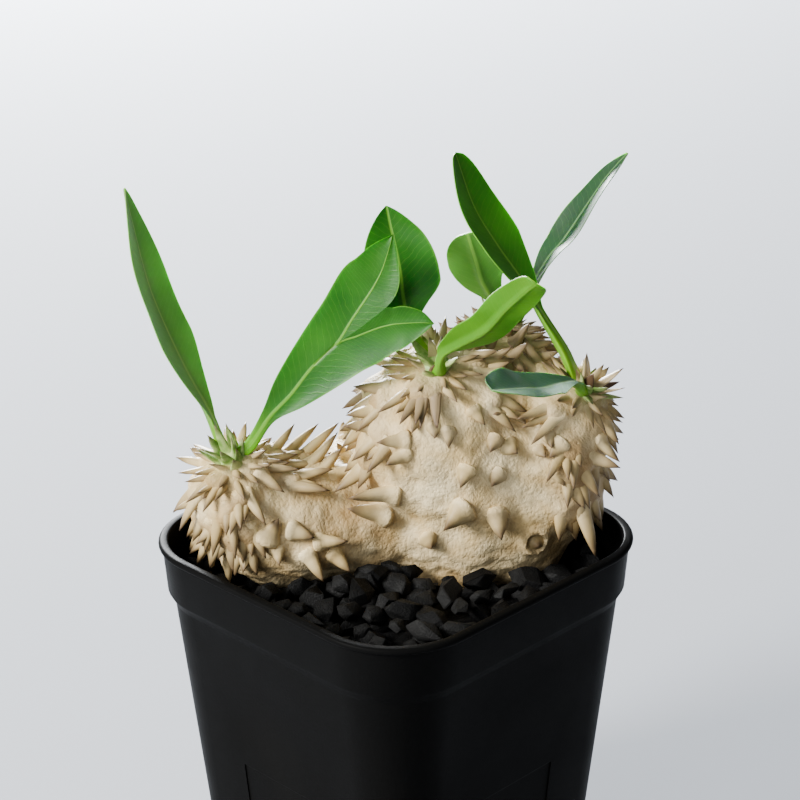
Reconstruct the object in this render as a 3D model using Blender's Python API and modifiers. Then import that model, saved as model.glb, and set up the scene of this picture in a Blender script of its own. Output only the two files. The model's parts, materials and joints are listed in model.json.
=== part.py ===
"""A pachypodium in a square nursery pot: swollen spiny trunk, green tips, leaves, gravel and pot.

Run with: blender --background --python part.py
Metres, +Z up. The origin is the middle of the pot's base, and the pot's sides face X and Y.
The plant lies along the pot's diagonal. Its own sizes are written in millimetres from the middle of
the rim: x along the plant from its small lobe to its large one, y away from its front, z up.
"""

import math
import random

import bmesh
import bpy
import numpy as np
from mathutils import Matrix, Vector
from mathutils.bvhtree import BVHTree
from mathutils.kdtree import KDTree

MM = 0.001

# The pot, moulded in thin plastic
POT_HEIGHT = 100 * MM
LIP_HALF = 45 * MM
LIP_CORNER = 20.3 * MM
LIP_WIDTH = 2.3 * MM
LIP_HEIGHT = 1.6 * MM
BAND_HALF = 44.1 * MM
BAND_FOOT = 87.2 * MM
BAND_FOOT_HALF = 43.4 * MM
SHOULDER_HALF = 41.8 * MM
SHOULDER_Z = 85 * MM
TAPER = 0.107
WALL = 1.4 * MM
FLOOR = 1.6 * MM
CORNER_STEPS = 5
SLIT_WIDTH = 3.2 * MM
SLIT_HEIGHT = 22 * MM
SLIT_INTO_BASE = 9 * MM
PANEL_TOP = 49 * MM
PANEL_FOOT = 4 * MM
PANEL_HALF_WIDTH = 13 * MM
PANEL_DEPTH = 0.4 * MM

# Clearance that touching solids keep
GAP = 0.3 * MM

# The gravel
GRAVEL_TOP = 90.5 * MM
STONE_PITCH = 6.5 * MM
STONE_ROW_PITCH = 0.87 * STONE_PITCH
STONE_RADIUS = 3.9 * MM
STONE_SHIFT = 1.0 * MM
STONE_REACH = 1.25
STONE_BLOCK = 1.45
STONE_CORNER = 1.6
DEEPEST_UNDER_TRUNK = -1.0
SPINE_ROOM = 1.3
# The gravel is heaped in the notch between the lobes: place, radii and rise in plant millimetres
HEAP_AT = (-7, -8)
HEAP_WIDTH = 5.5
HEAP_RISE = 3.2

# The plant
PLANT_TURN = math.radians(45)
BODY_VOXEL = 4.2 * MM
HOLE_CLEARANCE = 0.5
BLEND = 5.0

# Lobes of the trunk, each a middle and three radii, in plant millimetres
LOBES = [
    ((19, 10, 6), (26, 17, 27)),
    ((11, 7, 22.5), (19, 16.5, 21)),
    ((33, 8, 15), (14, 14, 19)),
    ((39, 6, 26.5), (9, 9, 10.5)),
    ((22, 19, 24), (18.5, 15, 19.5)),
    ((-25, 6, 0), (19.5, 15, 15)),
    ((-36, 3, 10), (10.5, 11, 10)),
    ((-7, 9, -1), (14, 14, 12)),
    ((-9, 24, 1), (13, 12, 12)),
    ((6, 14, -16), (26, 15, 14)),
    ((6, 14, -34), (13, 11, 24)),
]

# Growing points: where each sits, the middle that its spines radiate from, how many tubercles
# spiral round it and how far apart they stand
TIPS = {
    "left": {"at": (-38, -1, 20.5), "heart": (-31, 5, 3), "count": 34, "spread": 0.235},
    "middle": {"at": (9, 0, 44), "heart": (14, 9, 18), "count": 38, "spread": 0.225},
    "right": {"at": (44, 3, 35), "heart": (28, 9, 12), "count": 36, "spread": 0.22},
    "back": {"at": (25, 23, 43.5), "heart": (21, 16, 16), "count": 40, "spread": 0.21},
}
GOLDEN_ANGLE = math.pi * (3 - math.sqrt(5))
CROWN_RADII = (4.2, 4.2, 3.0)
CROWN_SPINES = 6
CROWN_SIDES = 12
CROWN_RINGS = 7
SOCKET_ROOM = 0.35
YOUNG_LENGTH = 7.5
YOUNG_SHORTER = 1.5
YOUNG_RADIUS = 1.1
YOUNG_UPRIGHT = 12
YOUNG_SPREAD = 30
YOUNG_CLEARANCE = 2.0
SEAT_OFF = 2.3
SEAT_UP = 1.0
TUBERCLE_START = 6.0
SPINE_LENGTH = 8.4
SPINE_RADIUS = 1.35
SPINE_ROOT = 1.3
SPINE_SIDES = 3
SPINE_SWELL = 1.25
SPINE_CURVE = 0.12
SPINE_SPLAY = 0.2
RAY_REACH = 80
LEAN_SCATTER = 7
OLD_REACH = 24
YOUNG_LEAN = 62
OLD_LEAN = 46
LEAF_CLEARANCE = 2.4
CROWN_CLEARANCE = 2.5
LOWEST_SPINE = -7.6
WALL_REACH = 2.5
WALL_ROOM = 2.0

# Old thorns that stand singly: root, way to the tip and base radius
THORNS = [
    ((7, -5, 36), (-0.5, -5.5, -5), 1),
    ((9, -8, 30), (0, -2, -1), 1.2),
    ((12, -8, 29), (0, -2.5, -2), 1.2),
    ((18, -6, 33), (2, -2.5, -2), 1.2),
    ((22, -6, 26), (-1, -2, -1.5), 1.4),
    ((26, -5, 24), (1.5, -2, -0.5), 1.6),
    ((16, -9, 20), (-1.5, -2.5, -2.5), 1.6),
    ((23, -7, 18), (-1, -2, -1.5), 1.6),
    ((15, -8, 10), (-3.5, -3.5, -3), 2.4),
    ((23, -7, 8), (1, -4, -4), 2),
    ((0, -4, 13), (-10, -2.5, 1), 2),
    ((-3, -2, 6), (-8, -3, 3), 2),
    ((2, -7, 27), (-5.5, -2, 0.5), 1.6),
    ((2, -8, 24), (-4, -2.5, -1.5), 1.6),
    ((-6, 1, 17), (-7, -3.5, -4.5), 2),
    ((8, -5, 1), (0.5, -2, -1), 1.6),
    ((32, -4, 0), (0.5, -1.5, 0), 1.6),
    ((37, -4, 24), (-2, -2.5, -1.5), 1.6),
    ((44, -1, 20), (6.5, -2.5, -1.5), 1.6),
    ((42, -3, 18), (4, -4.5, -5), 1.6),
    ((40, -4, 14), (2.5, -3.5, -4), 1.6),
    ((42, -2, 8), (4, -7, -9), 2),
    ((46, 1, 23), (4, -3, -4), 1.6),
    ((47, 3, 27), (3, -3, -4.5), 1.6),
    ((48, 6, 29), (4.5, -1, -2), 1.4),
    ((28, -1, 30), (1.5, -2.5, -1.5), 1.2),
    ((35, -4, 26), (0.5, -2.5, -1.5), 1.2),
    ((41, -4, 23), (1, -3, -3), 1.2),
    ((37, -5, 17), (1, -2, -1.5), 1.2),
    ((33, -5, 23), (1, -2, -0.5), 1),
    ((-5, -1, 28), (-6, -1.5, 0.5), 1.6),
    ((-4, 0, 31), (-6, -2, 0), 1.6),
    ((-2, 1, 36), (-6.5, -1.5, 1.5), 1.6),
    ((5, -7, 32), (-1, -2.5, -2), 1.2),
    ((13, 23, 41), (-2.5, 1, 2.5), 1.2),
    ((16, 24, 42), (-1.5, 1, 2.5), 1.2),
    ((18, 24, 43), (-1.5, 1, 2.5), 1.2),
    ((21, 24, 44), (-2.5, 1.5, 3.5), 1.6),
    ((23, 24, 43), (1.5, 1, 2), 1.2),
    ((29, 20, 42), (5.5, 0, 1.5), 1.2),
    ((30, 17, 41), (5, -0.5, 1.5), 1.2),
    ((32, 16, 40), (5, -0.5, 1.5), 1.2),
    ((34, 14, 38), (4, -0.5, 1.5), 1.2),
    ((37, 17, 35), (4, 0, 1.5), 1.2),
    ((-29, 7, 17), (5.5, 2, 6), 1.5),
    ((-26, 11, 15), (7.5, 3, 7), 1.7),
    ((-22, 10, 14), (8, 3, 8), 1.7),
    ((-20, 6, 14), (7, 1, 7), 1.6),
    ((-17, 5, 14), (4.5, 0.5, 5), 1.6),
    ((-14, 5, 13), (8, -1, 3), 1.8),
    ((-29, -8, 4), (2.5, 0, 4.5), 2),
    ((-23, -8, 5), (4, -2.5, -0.5), 1.6),
    ((-17, -8, 2), (6, -2, 1.5), 1.6),
    ((-20, -8, -1), (3, -4.5, -4), 1.6),
    ((-14, -7, -2), (3.5, -3, -2.5), 1.6),
    ((-34, -7, -1), (-0.5, -3, -3), 1.4),
    ((-27, -9, 0), (0.5, -2.5, -2), 1.2),
    ((-38, -8, 11), (-0.5, -4.5, -4.5), 1.2),
    ((-36, -8, 11), (-1.5, -5, -4.5), 1.2),
    ((-42, -4, 4), (-3.5, -2, -3), 1.2),
    ((-31, -3, 16), (5, -3.5, -2.5), 1.5),
    ((-43, 2, -5), (4.5, -1, -3), 1.2),
    ((-39, -3, -6), (0, -2.5, -4), 1.2),
    ((6, -6, 38), (-0.5, -4.5, -8), 1.2),
    ((9, -6, 38), (0.5, -4.5, -7.5), 1.2),
    ((17, 4, 42), (6, -2, 3), 1.4),
    ((18, 9, 43), (5, -1, 5), 1.4),
    ((22, 6, 41), (5, -2, 4), 1.4),
    ((22, 11, 43), (3, -2, 6), 1.4),
    ((27, 9, 41), (4, -3, 5), 1.4),
    ((28, 14, 42), (3, -3, 6), 1.4),
    ((20, 15, 44), (0, -3, 6), 1.4),
    ((14, 10, 44), (3, 0, 6), 1.4),
]
# Smooth patches of bark, each a middle and a radius, where the spiral grows no spines
BARE = [((14, -10, 9), 23.5), ((-16, -7, 8), 9.5), ((-25, -7, 12), 6.5), ((-23, -9, -1), 10)]

# Leaves: the tip they grow from, the midrib's points after the petiole's root, the way the upper
# face looks, half the greatest width and where along the leaf it is, how much of the leaf is
# stalk, how far each half folds up in degrees, and how round the end is: the less, the blunter
BLADE = 0.7
PETIOLE_HALF = 1.4
PETIOLE_THICK = 2.0
HOLE_RADIUS = 2.2
HOLE_DEPTH = 14
LEAF_ROWS = 12
LEAF_COLUMNS = (-1.0, -0.5, 0.0, 0.5, 1.0)
LEAVES = {
    "leaf_left_tall": {
        "tip": "left",
        "rib": [(-42, 0.5, 31), (-48, 2, 43), (-54.5, 5, 59), (-58, 7.5, 74), (-59.5, 8.5, 82)],
        "face": [(0.88, -0.36, 0.3), (0.88, -0.36, 0.3)],
        "half": 7.2,
        "widest": 0.45,
        "stalk": 0.06,
        "fold": 14,
        "point": 0.8,
    },
    "leaf_broad": {
        "tip": "middle",
        "rib": [(4.5, 3, 48.5), (2.5, 5, 55), (1.5, 8, 62), (0.5, 10, 67), (-0.5, 12, 71),
                (-1.5, 14, 75.5)],
        "face": [(0.1, -0.95, 0.3), (0.15, -0.9, 0.4)],
        "half": 9.0,
        "widest": 0.5,
        "stalk": 0.16,
        "fold": 12,
        "point": 0.85,
    },
    "leaf_near": {
        "tip": "middle",
        "rib": [(11, -8.5, 49), (14.5, -13, 53), (20, -19, 58.5), (24, -26, 66), (28, -32.5, 72.5),
                (29.5, -37, 75.5)],
        "face": [(0.06, 0.8, 0.7), (0.5, 0.62, 0.55)],
        "half": 4.6,
        "widest": 0.4,
        "stalk": 0.06,
        "fold": 10,
        "point": 0.24,
    },
    "leaf_long": {
        "tip": "right",
        "rib": [(39, 2.5, 45), (33.5, 3, 53.5), (29, 3.5, 61), (23, 5, 69.5), (18, 8, 77.5),
                (14, 12, 88.5)],
        "face": [(0.71, -0.51, 0.5), (0.71, -0.51, 0.6)],
        "half": 7.5,
        "widest": 0.62,
        "stalk": 0.26,
        "fold": 17,
        "point": 0.5,
    },
    "leaf_low": {
        "tip": "right",
        "rib": [(41, -4.5, 40), (37, -9, 41.5), (32.5, -14, 42.5), (28, -20, 45), (21, -28, 48)],
        "face": [(-0.1, -0.35, 0.9), (-0.1, -0.35, 0.9)],
        "half": 7.2,
        "widest": 0.62,
        "stalk": 0.1,
        "fold": 14,
        "point": 0.42,
    },
    "leaf_far": {
        "tip": "back",
        "rib": [(35.5, 27, 57), (40, 29.5, 62), (46, 33, 70), (50, 35.5, 75), (55, 38, 80)],
        "face": [(-0.69, -0.3, 0.5), (-0.69, -0.35, 0.5)],
        "half": 5.2,
        "widest": 0.5,
        "stalk": 0.1,
        "fold": 16,
        "point": 0.95,
    },
    "leaf_small_back": {
        "tip": "back",
        "rib": [(23, 20.5, 50.5), (20.5, 20, 55.5), (19, 19.5, 60.5), (17, 18, 67.5)],
        "face": [(0.05, 0.9, 0.4), (0.1, 0.95, 0.2)],
        "half": 7.0,
        "widest": 0.64,
        "stalk": 0.08,
        "fold": 8,
        "point": 0.5,
    },
}
# The forked leaf: its two halves' edges and ribs in x and z from the stalk to the two tips. The halves
# share the rib up to the fork and then a seam up to the notch, and lie in one leaning plane.
FORKED_TIP = "left"
FORKED_STALK = (-32.9, -1, 23.6)
FORKED_LEAN = (-0.206, 0.222)
FORKED_FACE = (-0.2, -0.95, 0.25)
FORKED_CURL = 0.16
UPPER_EDGE = [(-30, 31.5), (-27, 38.5), (-23, 45.5), (-18.5, 52.5), (-15.5, 57), (-12, 63),
              (-10, 65.5), (-8, 67), (-4.5, 70)]
UPPER_RIB = [(-28.5, 30), (-23.5, 35.5), (-18.5, 42), (-13, 47.5), (-9.5, 53), (-5.5, 59),
             (-4, 61.5), (-2.5, 64.5), (-1, 69), (0, 72.5)]
UPPER_INNER = [(-7.5, 51.5), (-2, 56), (0.5, 59), (1.5, 62.5), (1, 68.5)]
LOWER_INNER = [(-7.5, 51.5), (-2, 56), (0, 56.5), (2.5, 57), (6.5, 56)]
LOWER_RIB = [(-28.5, 30), (-23.5, 35.5), (-18.5, 42), (-13, 47.5), (-8.5, 49.5), (-4, 51.5),
             (-1, 52.5), (1.5, 53), (6, 53.5), (9, 53.5)]
LOWER_EDGE = [(-27.5, 29), (-20.5, 33), (-13.5, 37.5), (-7, 42), (-3.5, 44), (0, 46.5),
              (2, 47.5), (4, 49), (7, 51.5)]


def clear_scene():
    for old in list(bpy.data.objects):
        bpy.data.objects.remove(old)


def material(name, colour, roughness):
    made = bpy.data.materials.new(name)
    made.use_nodes = True
    shader = made.node_tree.nodes["Principled BSDF"]
    shader.inputs["Base Color"].default_value = (*colour, 1)
    shader.inputs["Roughness"].default_value = roughness
    shader.inputs["Metallic"].default_value = 0
    made.diffuse_color = (*colour, 1)
    return made


def object_from(name, bm, collection, surface=None):
    mesh = bpy.data.meshes.new(name)
    bm.to_mesh(mesh)
    bm.free()
    obj = bpy.data.objects.new(name, mesh)
    collection.objects.link(obj)
    if surface is not None:
        mesh.materials.append(surface)
    return obj


def new_collection(name):
    made = bpy.data.collections.new(name)
    bpy.context.scene.collection.children.link(made)
    return made


def outer_shell(mesh):
    """Keeps the largest connected surface, in triangles: sealed hollows and loose scraps go."""
    bm = bmesh.new()
    bm.from_mesh(mesh)
    left = set(bm.verts)
    shells = []
    while left:
        shell = []
        queue = [left.pop()]
        while queue:
            vert = queue.pop()
            shell.append(vert)
            for edge in vert.link_edges:
                other = edge.other_vert(vert)
                if other in left:
                    left.remove(other)
                    queue.append(other)
        shells.append(shell)
    shells.sort(key=len)
    bmesh.ops.delete(bm, geom=[v for shell in shells[:-1] for v in shell], context="VERTS")
    bmesh.ops.triangulate(bm, faces=bm.faces)
    bm.to_mesh(mesh)
    bm.free()


def apply_boolean(obj, operation, cutters):
    """One Boolean with every object of the collection, applied; the collection's objects then go."""
    modifier = obj.modifiers.new(operation.lower(), "BOOLEAN")
    modifier.operation = operation
    modifier.operand_type = "COLLECTION"
    modifier.collection = cutters
    modifier.solver = "MANIFOLD"
    bpy.context.view_layer.update()
    graph = bpy.context.evaluated_depsgraph_get()
    made = bpy.data.meshes.new_from_object(obj.evaluated_get(graph))
    obj.modifiers.clear()
    outer_shell(made)
    obj.data = made
    for used in list(cutters.objects):
        bpy.data.objects.remove(used)


def rounded_square(half, corner, z):
    """Points of a square with rounded corners, counter-clockwise."""
    points = []
    for quarter in range(4):
        for step in range(CORNER_STEPS + 1):
            angle = math.pi / 2 * (quarter + step / CORNER_STEPS)
            turn = Matrix.Rotation(math.pi / 2 * quarter, 2)
            middle = turn @ Vector((half - corner, half - corner))
            points.append((middle.x + corner * math.cos(angle), middle.y + corner * math.sin(angle), z))
    return points


def loft(sections):
    """A closed solid through the sections, capped at both ends."""
    bm = bmesh.new()
    rings = [[bm.verts.new(p) for p in section] for section in sections]
    count = len(rings[0])
    for low, high in zip(rings[:-1], rings[1:]):
        for i in range(count):
            j = (i + 1) % count
            bm.faces.new((low[i], low[j], high[j], high[i]))
    bm.faces.new(reversed(rings[0]))
    bm.faces.new(rings[-1])
    bmesh.ops.recalc_face_normals(bm, faces=bm.faces)
    return bm


def body_half(z):
    """Half the pot's outer width at this height, under the shoulder."""
    return SHOULDER_HALF - TAPER * (SHOULDER_Z - z)


def pot_section(half, z):
    return rounded_square(half, LIP_CORNER - (LIP_HALF - half), z)


def box(collection, name, size, middle, turn=0.0, tilt=0.0):
    """A box that is turned about Z and first tilted about Y."""
    bm = bmesh.new()
    spin = Matrix.Rotation(turn, 4, "Z")
    place = Matrix.Translation(middle) @ Matrix.Rotation(tilt, 4, "Y")
    bmesh.ops.create_cube(bm, size=1, matrix=spin @ place @ Matrix.Diagonal((*size, 1)))
    return object_from(name, bm, collection)


def make_pot(parts, cutters, plastic):
    edge = 0.5 * MM
    round_lip = 0.35 * LIP_WIDTH
    profile = [
        (body_half(0) - edge, 0),
        (body_half(edge), edge),
        (SHOULDER_HALF, SHOULDER_Z),
        (BAND_FOOT_HALF, BAND_FOOT),
        (BAND_HALF, POT_HEIGHT - LIP_HEIGHT),
        (LIP_HALF - edge, POT_HEIGHT - LIP_HEIGHT),
        (LIP_HALF, POT_HEIGHT - LIP_HEIGHT + edge),
        (LIP_HALF, POT_HEIGHT - round_lip),
        (LIP_HALF - round_lip, POT_HEIGHT),
        (LIP_HALF - LIP_WIDTH + edge, POT_HEIGHT),
        (LIP_HALF - LIP_WIDTH, POT_HEIGHT - edge),
        (BAND_HALF - WALL, POT_HEIGHT - LIP_HEIGHT),
        (BAND_FOOT_HALF - WALL - edge, BAND_FOOT),
        (SHOULDER_HALF - WALL, SHOULDER_Z),
        (body_half(FLOOR) - WALL, FLOOR),
    ]
    pot = object_from("pot", loft([pot_section(half, z) for half, z in profile]), parts, plastic)

    middle_of_panel = (PANEL_TOP + PANEL_FOOT) / 2
    lean = math.atan(TAPER)
    for side in range(4):
        turn = math.pi / 2 * side
        depth = 4 * MM
        face = body_half(middle_of_panel) - PANEL_DEPTH + depth / 2
        height = PANEL_TOP - PANEL_FOOT
        box(
            cutters,
            f"panel_{side}",
            (depth, 2 * PANEL_HALF_WIDTH, height),
            (face, 0, middle_of_panel),
            turn,
            lean,
        )
        reach = SLIT_INTO_BASE + 6 * MM
        out = body_half(0) - SLIT_INTO_BASE + reach / 2
        slit = (reach, SLIT_WIDTH, 2 * SLIT_HEIGHT)
        box(cutters, f"slit_{side}", slit, (out, 0, 0), turn)
        corner = body_half(0) * math.sqrt(2) - (LIP_CORNER - LIP_HALF + body_half(0)) * (math.sqrt(2) - 1)
        corner_out = corner - SLIT_INTO_BASE + reach / 2
        box(cutters, f"corner_slit_{side}", slit, (corner_out, 0, 0), turn + math.pi / 4)
    apply_boolean(pot, "DIFFERENCE", cutters)
    return pot


def field(points, grown=0.0):
    """Distance from the trunk's skin, under zero inside: a smooth union of the lobes."""
    total = None
    for middle, radii in LOBES:
        radii = np.array(radii, float)
        scaled = (points - np.array(middle, float)) / radii
        near = np.linalg.norm(scaled, axis=1)
        slope = np.linalg.norm(scaled / radii, axis=1) + 1e-9
        lobe = near * (near - 1) / slope
        if total is None:
            total = lobe
            continue
        mix = np.clip(0.5 + 0.5 * (lobe - total) / BLEND, 0, 1)
        total = lobe * (1 - mix) + total * mix - BLEND * mix * (1 - mix)
    return total - grown


def slope_of(points):
    """The field's gradient."""
    step = 0.05
    axes = np.eye(3) * step
    return np.stack([(field(points + a) - field(points - a)) / (2 * step) for a in axes], axis=1)


def snapped(points, grown=0.0):
    """The points moved onto the trunk's skin, or onto a skin grown by so much."""
    for _ in range(4):
        slope = slope_of(points)
        size = np.maximum((slope * slope).sum(axis=1), 0.3)
        points = points - (field(points, grown) / size)[:, None] * slope
    return points


def skin_normal(point):
    slope = slope_of(np.array([point], float))[0]
    return Vector(slope).normalized()


def trunk_skin(name, collection, grown=0.0):
    """The trunk without its spines: the lobes as balls, remeshed and drawn onto the smooth skin."""
    bm = bmesh.new()
    for middle, radii in LOBES:
        place = Matrix.Translation(Vector(middle) * MM) @ Matrix.Diagonal((*(Vector(radii) * MM), 1))
        bmesh.ops.create_icosphere(bm, subdivisions=4, radius=1, matrix=place)
    balls = object_from("lobes", bm, collection)
    remesh = balls.modifiers.new("remesh", "REMESH")
    remesh.mode = "VOXEL"
    remesh.voxel_size = BODY_VOXEL
    bpy.context.view_layer.update()
    graph = bpy.context.evaluated_depsgraph_get()
    mesh = bpy.data.meshes.new_from_object(balls.evaluated_get(graph))
    bpy.data.objects.remove(balls)
    points = np.empty(len(mesh.vertices) * 3)
    mesh.vertices.foreach_get("co", points)
    points = snapped(points.reshape(-1, 3) / MM, grown)
    mesh.vertices.foreach_set("co", (points * MM).ravel())
    mesh.update()
    obj = bpy.data.objects.new(name, mesh)
    collection.objects.link(obj)
    return obj


def tree_of(obj):
    return BVHTree.FromPolygons(
        [v.co / MM for v in obj.data.vertices], [p.vertices[:] for p in obj.data.polygons]
    )


def frame_at(normal):
    """Two directions across the normal."""
    side = Vector((1, 0, 0)) if abs(normal.x) < 0.8 else Vector((0, 1, 0))
    first = normal.cross(side).normalized()
    return first, normal.cross(first).normalized()


def thorn(collection, name, root, direction, length, radius, bend=Vector((0, 0, 0))):
    """A curved cone in millimetres that starts at its root and leans over by the bend."""
    bm = bmesh.new()
    bmesh.ops.create_cone(
        bm, cap_ends=True, segments=SPINE_SIDES, radius1=radius, radius2=0, depth=length,
        matrix=Matrix.Translation((0, 0, length / 2)),
    )
    bmesh.ops.remove_doubles(bm, verts=bm.verts, dist=0.01)
    bmesh.ops.bisect_plane(
        bm, geom=bm.verts[:] + bm.edges[:] + bm.faces[:],
        plane_co=(0, 0, length * 0.5), plane_no=(0, 0, 1),
    )
    turn = direction.to_track_quat("Z", "Y").to_matrix()
    for vert in bm.verts:
        share = vert.co.z / length
        if 0.2 < share < 0.8:
            vert.co.x *= SPINE_SWELL
            vert.co.y *= SPINE_SWELL
        vert.co = (root + turn @ vert.co + bend * share * share) * MM
    return object_from(name, bm, collection)


def growing_points(tree):
    """Each tip's place on the skin, its heart and its outward direction."""
    found = {}
    for name, tip in TIPS.items():
        place, _, _, _ = tree.find_nearest(Vector(tip["at"]))
        heart = Vector(tip["heart"])
        found[name] = {"place": place, "heart": heart, "out": (place - heart).normalized()}
    return found


def near_wall(place):
    """Whether a place in plant millimetres is low enough and far enough out to meet the pot's wall."""
    if place.z > WALL_REACH:
        return False
    turned = Matrix.Rotation(PLANT_TURN, 3, "Z") @ place
    half = (BAND_FOOT_HALF - WALL) / MM
    corner = (LIP_CORNER - LIP_HALF + BAND_FOOT_HALF - WALL) / MM
    over = Vector((abs(turned.x) - half + corner, abs(turned.y) - half + corner))
    if over.x > 0 and over.y > 0:
        return over.length > corner - WALL_ROOM
    return max(over) > corner - WALL_ROOM


def spine_plan(tree, points):
    """Root, direction, length and radius of every spine, by a spiral round each growing point."""
    draw = random.Random(7)
    plan = []
    for name, tip in TIPS.items():
        here = points[name]
        first, second = frame_at(here["out"])
        for number in range(tip["count"]):
            polar = tip["spread"] * math.sqrt(number + 1.2)
            around = number * GOLDEN_ANGLE
            across = first * math.cos(around) + second * math.sin(around)
            ray = here["out"] * math.cos(polar) + across * math.sin(polar)
            hit, _, _, _ = tree.ray_cast(here["heart"] + ray * RAY_REACH, -ray)
            if hit is None:
                continue
            reach = (hit - here["place"]).length
            others = [(hit - points[o]["place"]).length for o in points]
            if reach > min(others) + 0.01 or reach < TUBERCLE_START:
                continue
            if any((hit - Vector(middle)).length < radius for middle, radius in BARE):
                continue
            normal = skin_normal(hit)
            away = hit - here["place"]
            away = (away - normal * away.dot(normal)).normalized()
            age = min(1, (reach - TUBERCLE_START) / OLD_REACH)
            lean = math.radians(YOUNG_LEAN + (OLD_LEAN - YOUNG_LEAN) * age + draw.uniform(-1, 1) * LEAN_SCATTER)
            side = normal.cross(away)
            length = SPINE_LENGTH * (1.1 - 0.25 * age) * draw.uniform(0.8, 1.15)
            radius = SPINE_RADIUS * (0.85 + 0.55 * age)
            gap = 1.1 + 0.5 * age
            for hand in (-1, 1):
                aim = normal * math.cos(lean) + away * math.sin(lean) + side * hand * SPINE_SPLAY
                root = hit + side * hand * gap
                plan.append((root, aim.normalized(), length, radius, normal, age))
    return plan


def single_thorns():
    """The old thorns, which stand where they are listed."""
    plan = []
    for root, way, radius in THORNS:
        place = Vector(snapped(np.array([root], float))[0])
        normal = skin_normal(place)
        plan.append((place, Vector(way).normalized(), Vector(way).length, radius, normal, 0.5))
    return plan


def samples_along(root, aim, length, bend, count=6):
    steps = [i / (count - 1) for i in range(count)]
    return [root + aim * length * s + bend * s * s for s in steps]


def bend_of(aim, normal, length):
    """Spines curve back up a little towards their tips."""
    return (normal - aim * aim.dot(normal)) * length * SPINE_CURVE


def rib_curve(points, rows):
    """Points spaced evenly along a smooth curve through the given ones, with the direction at each."""
    path = [Vector(p) for p in points]
    padded = [path[0] * 2 - path[1], *path, path[-1] * 2 - path[-2]]
    dense = []
    fine = 12
    for i in range(1, len(padded) - 2):
        a, b, c, d = padded[i - 1 : i + 3]
        for step in range(fine):
            t = step / fine
            dense.append(
                0.5 * (2 * b + (c - a) * t + (2 * a - 5 * b + 4 * c - d) * t * t
                       + (3 * b - a - 3 * c + d) * t * t * t)
            )
    dense.append(path[-1])
    lengths = [0.0]
    for a, b in zip(dense[:-1], dense[1:]):
        lengths.append(lengths[-1] + (b - a).length)
    places = []
    for row in range(rows):
        goal = lengths[-1] * row / (rows - 1)
        k = max(i for i, reached in enumerate(lengths) if reached <= goal + 1e-9)
        k = min(k, len(dense) - 2)
        share = (goal - lengths[k]) / (lengths[k + 1] - lengths[k])
        places.append(dense[k].lerp(dense[k + 1], share))
    headings = []
    for row in range(rows):
        before = places[max(row - 1, 0)]
        after = places[min(row + 1, rows - 1)]
        headings.append((after - before).normalized())
    return places, headings


def blade_half(share, leaf):
    """Half the leaf's width at this share of its length: a stalk, then a blade widest past the middle."""
    stalk = leaf["stalk"]
    if share < stalk:
        return PETIOLE_HALF
    along = (share - stalk) / (1 - stalk)
    top = (leaf["widest"] - stalk) / (1 - stalk)
    if along < top:
        rise = along / top
        swell = rise * rise * (3 - 2 * rise)
        swell = 0.45 * rise + 0.55 * swell
    else:
        fall = (along - top) / (1 - top)
        swell = max(0.0, 1 - fall**2.3) ** leaf["point"]
    return max(PETIOLE_HALF * (1 - along), leaf["half"] * swell, 0.5)


def thickness_at(share, across, stalk):
    """Thick along the rib and at the stalk, thin at the edges."""
    rib = PETIOLE_THICK * (1 - share) ** 0.7 + BLADE * 0.4
    thick = max(BLADE, rib * max(0.0, 1 - 2.2 * abs(across)))
    if share < stalk:
        thick = max(thick, BLADE + (PETIOLE_THICK - BLADE) * (1 - 0.5 * abs(across)))
    return thick


def seat_of(here, towards):
    """Where a stalk's root sits in its growing tip."""
    out = here["out"]
    side = Vector(towards) - here["place"]
    side = (side - out * side.dot(out)).normalized()
    return here["place"] + side * SEAT_OFF + out * SEAT_UP


def leaf_rows(leaf, seat, rows):
    """The upper face of a plain leaf: rows of points, the face's normals and the thickness."""
    places, headings = rib_curve([seat, *leaf["rib"]], rows)
    start, end = (Vector(f).normalized() for f in leaf["face"])
    fold = math.radians(leaf["fold"])
    grid = []
    for row, (place, heading) in enumerate(zip(places, headings)):
        share = row / (rows - 1)
        face = start.lerp(end, share)
        face = (face - heading * face.dot(heading)).normalized()
        side = heading.cross(face).normalized()
        half = blade_half(share, leaf)
        cells = []
        for across in LEAF_COLUMNS:
            rise = abs(across) * math.sin(fold) * half
            point = place + side * across * half * math.cos(fold) + face * rise
            cells.append((point, face, thickness_at(share, across, leaf["stalk"])))
        grid.append(cells)
    return grid


def thick_sheet(grids, welds):
    """A closed solid from grids of (point, normal, thickness), with the listed vertices shared."""
    bm = bmesh.new()
    tops = {}
    bottoms = {}
    for g, grid in enumerate(grids):
        for r, cells in enumerate(grid):
            for c, (point, normal, thick) in enumerate(cells):
                key = welds.get((g, r, c), (g, r, c))
                if key not in tops:
                    tops[key] = bm.verts.new(point * MM)
                    bottoms[key] = bm.verts.new((point - normal * thick) * MM)
    edges = {}
    for g, grid in enumerate(grids):
        for r in range(len(grid) - 1):
            for c in range(len(grid[0]) - 1):
                corners = [(g, r, c), (g, r, c + 1), (g, r + 1, c + 1), (g, r + 1, c)]
                keys = []
                for corner in corners:
                    key = welds.get(corner, corner)
                    if key not in keys:
                        keys.append(key)
                if len(keys) < 3:
                    continue
                bm.faces.new([tops[k] for k in keys])
                bm.faces.new([bottoms[k] for k in reversed(keys)])
                for a, b in zip(keys, keys[1:] + keys[:1]):
                    if (b, a) in edges:
                        del edges[(b, a)]
                    else:
                        edges[(a, b)] = True
    for a, b in edges:
        bm.faces.new([bottoms[a], bottoms[b], tops[b], tops[a]])
    bmesh.ops.triangulate(bm, faces=bm.faces)
    bmesh.ops.recalc_face_normals(bm, faces=bm.faces)
    return bm


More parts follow.
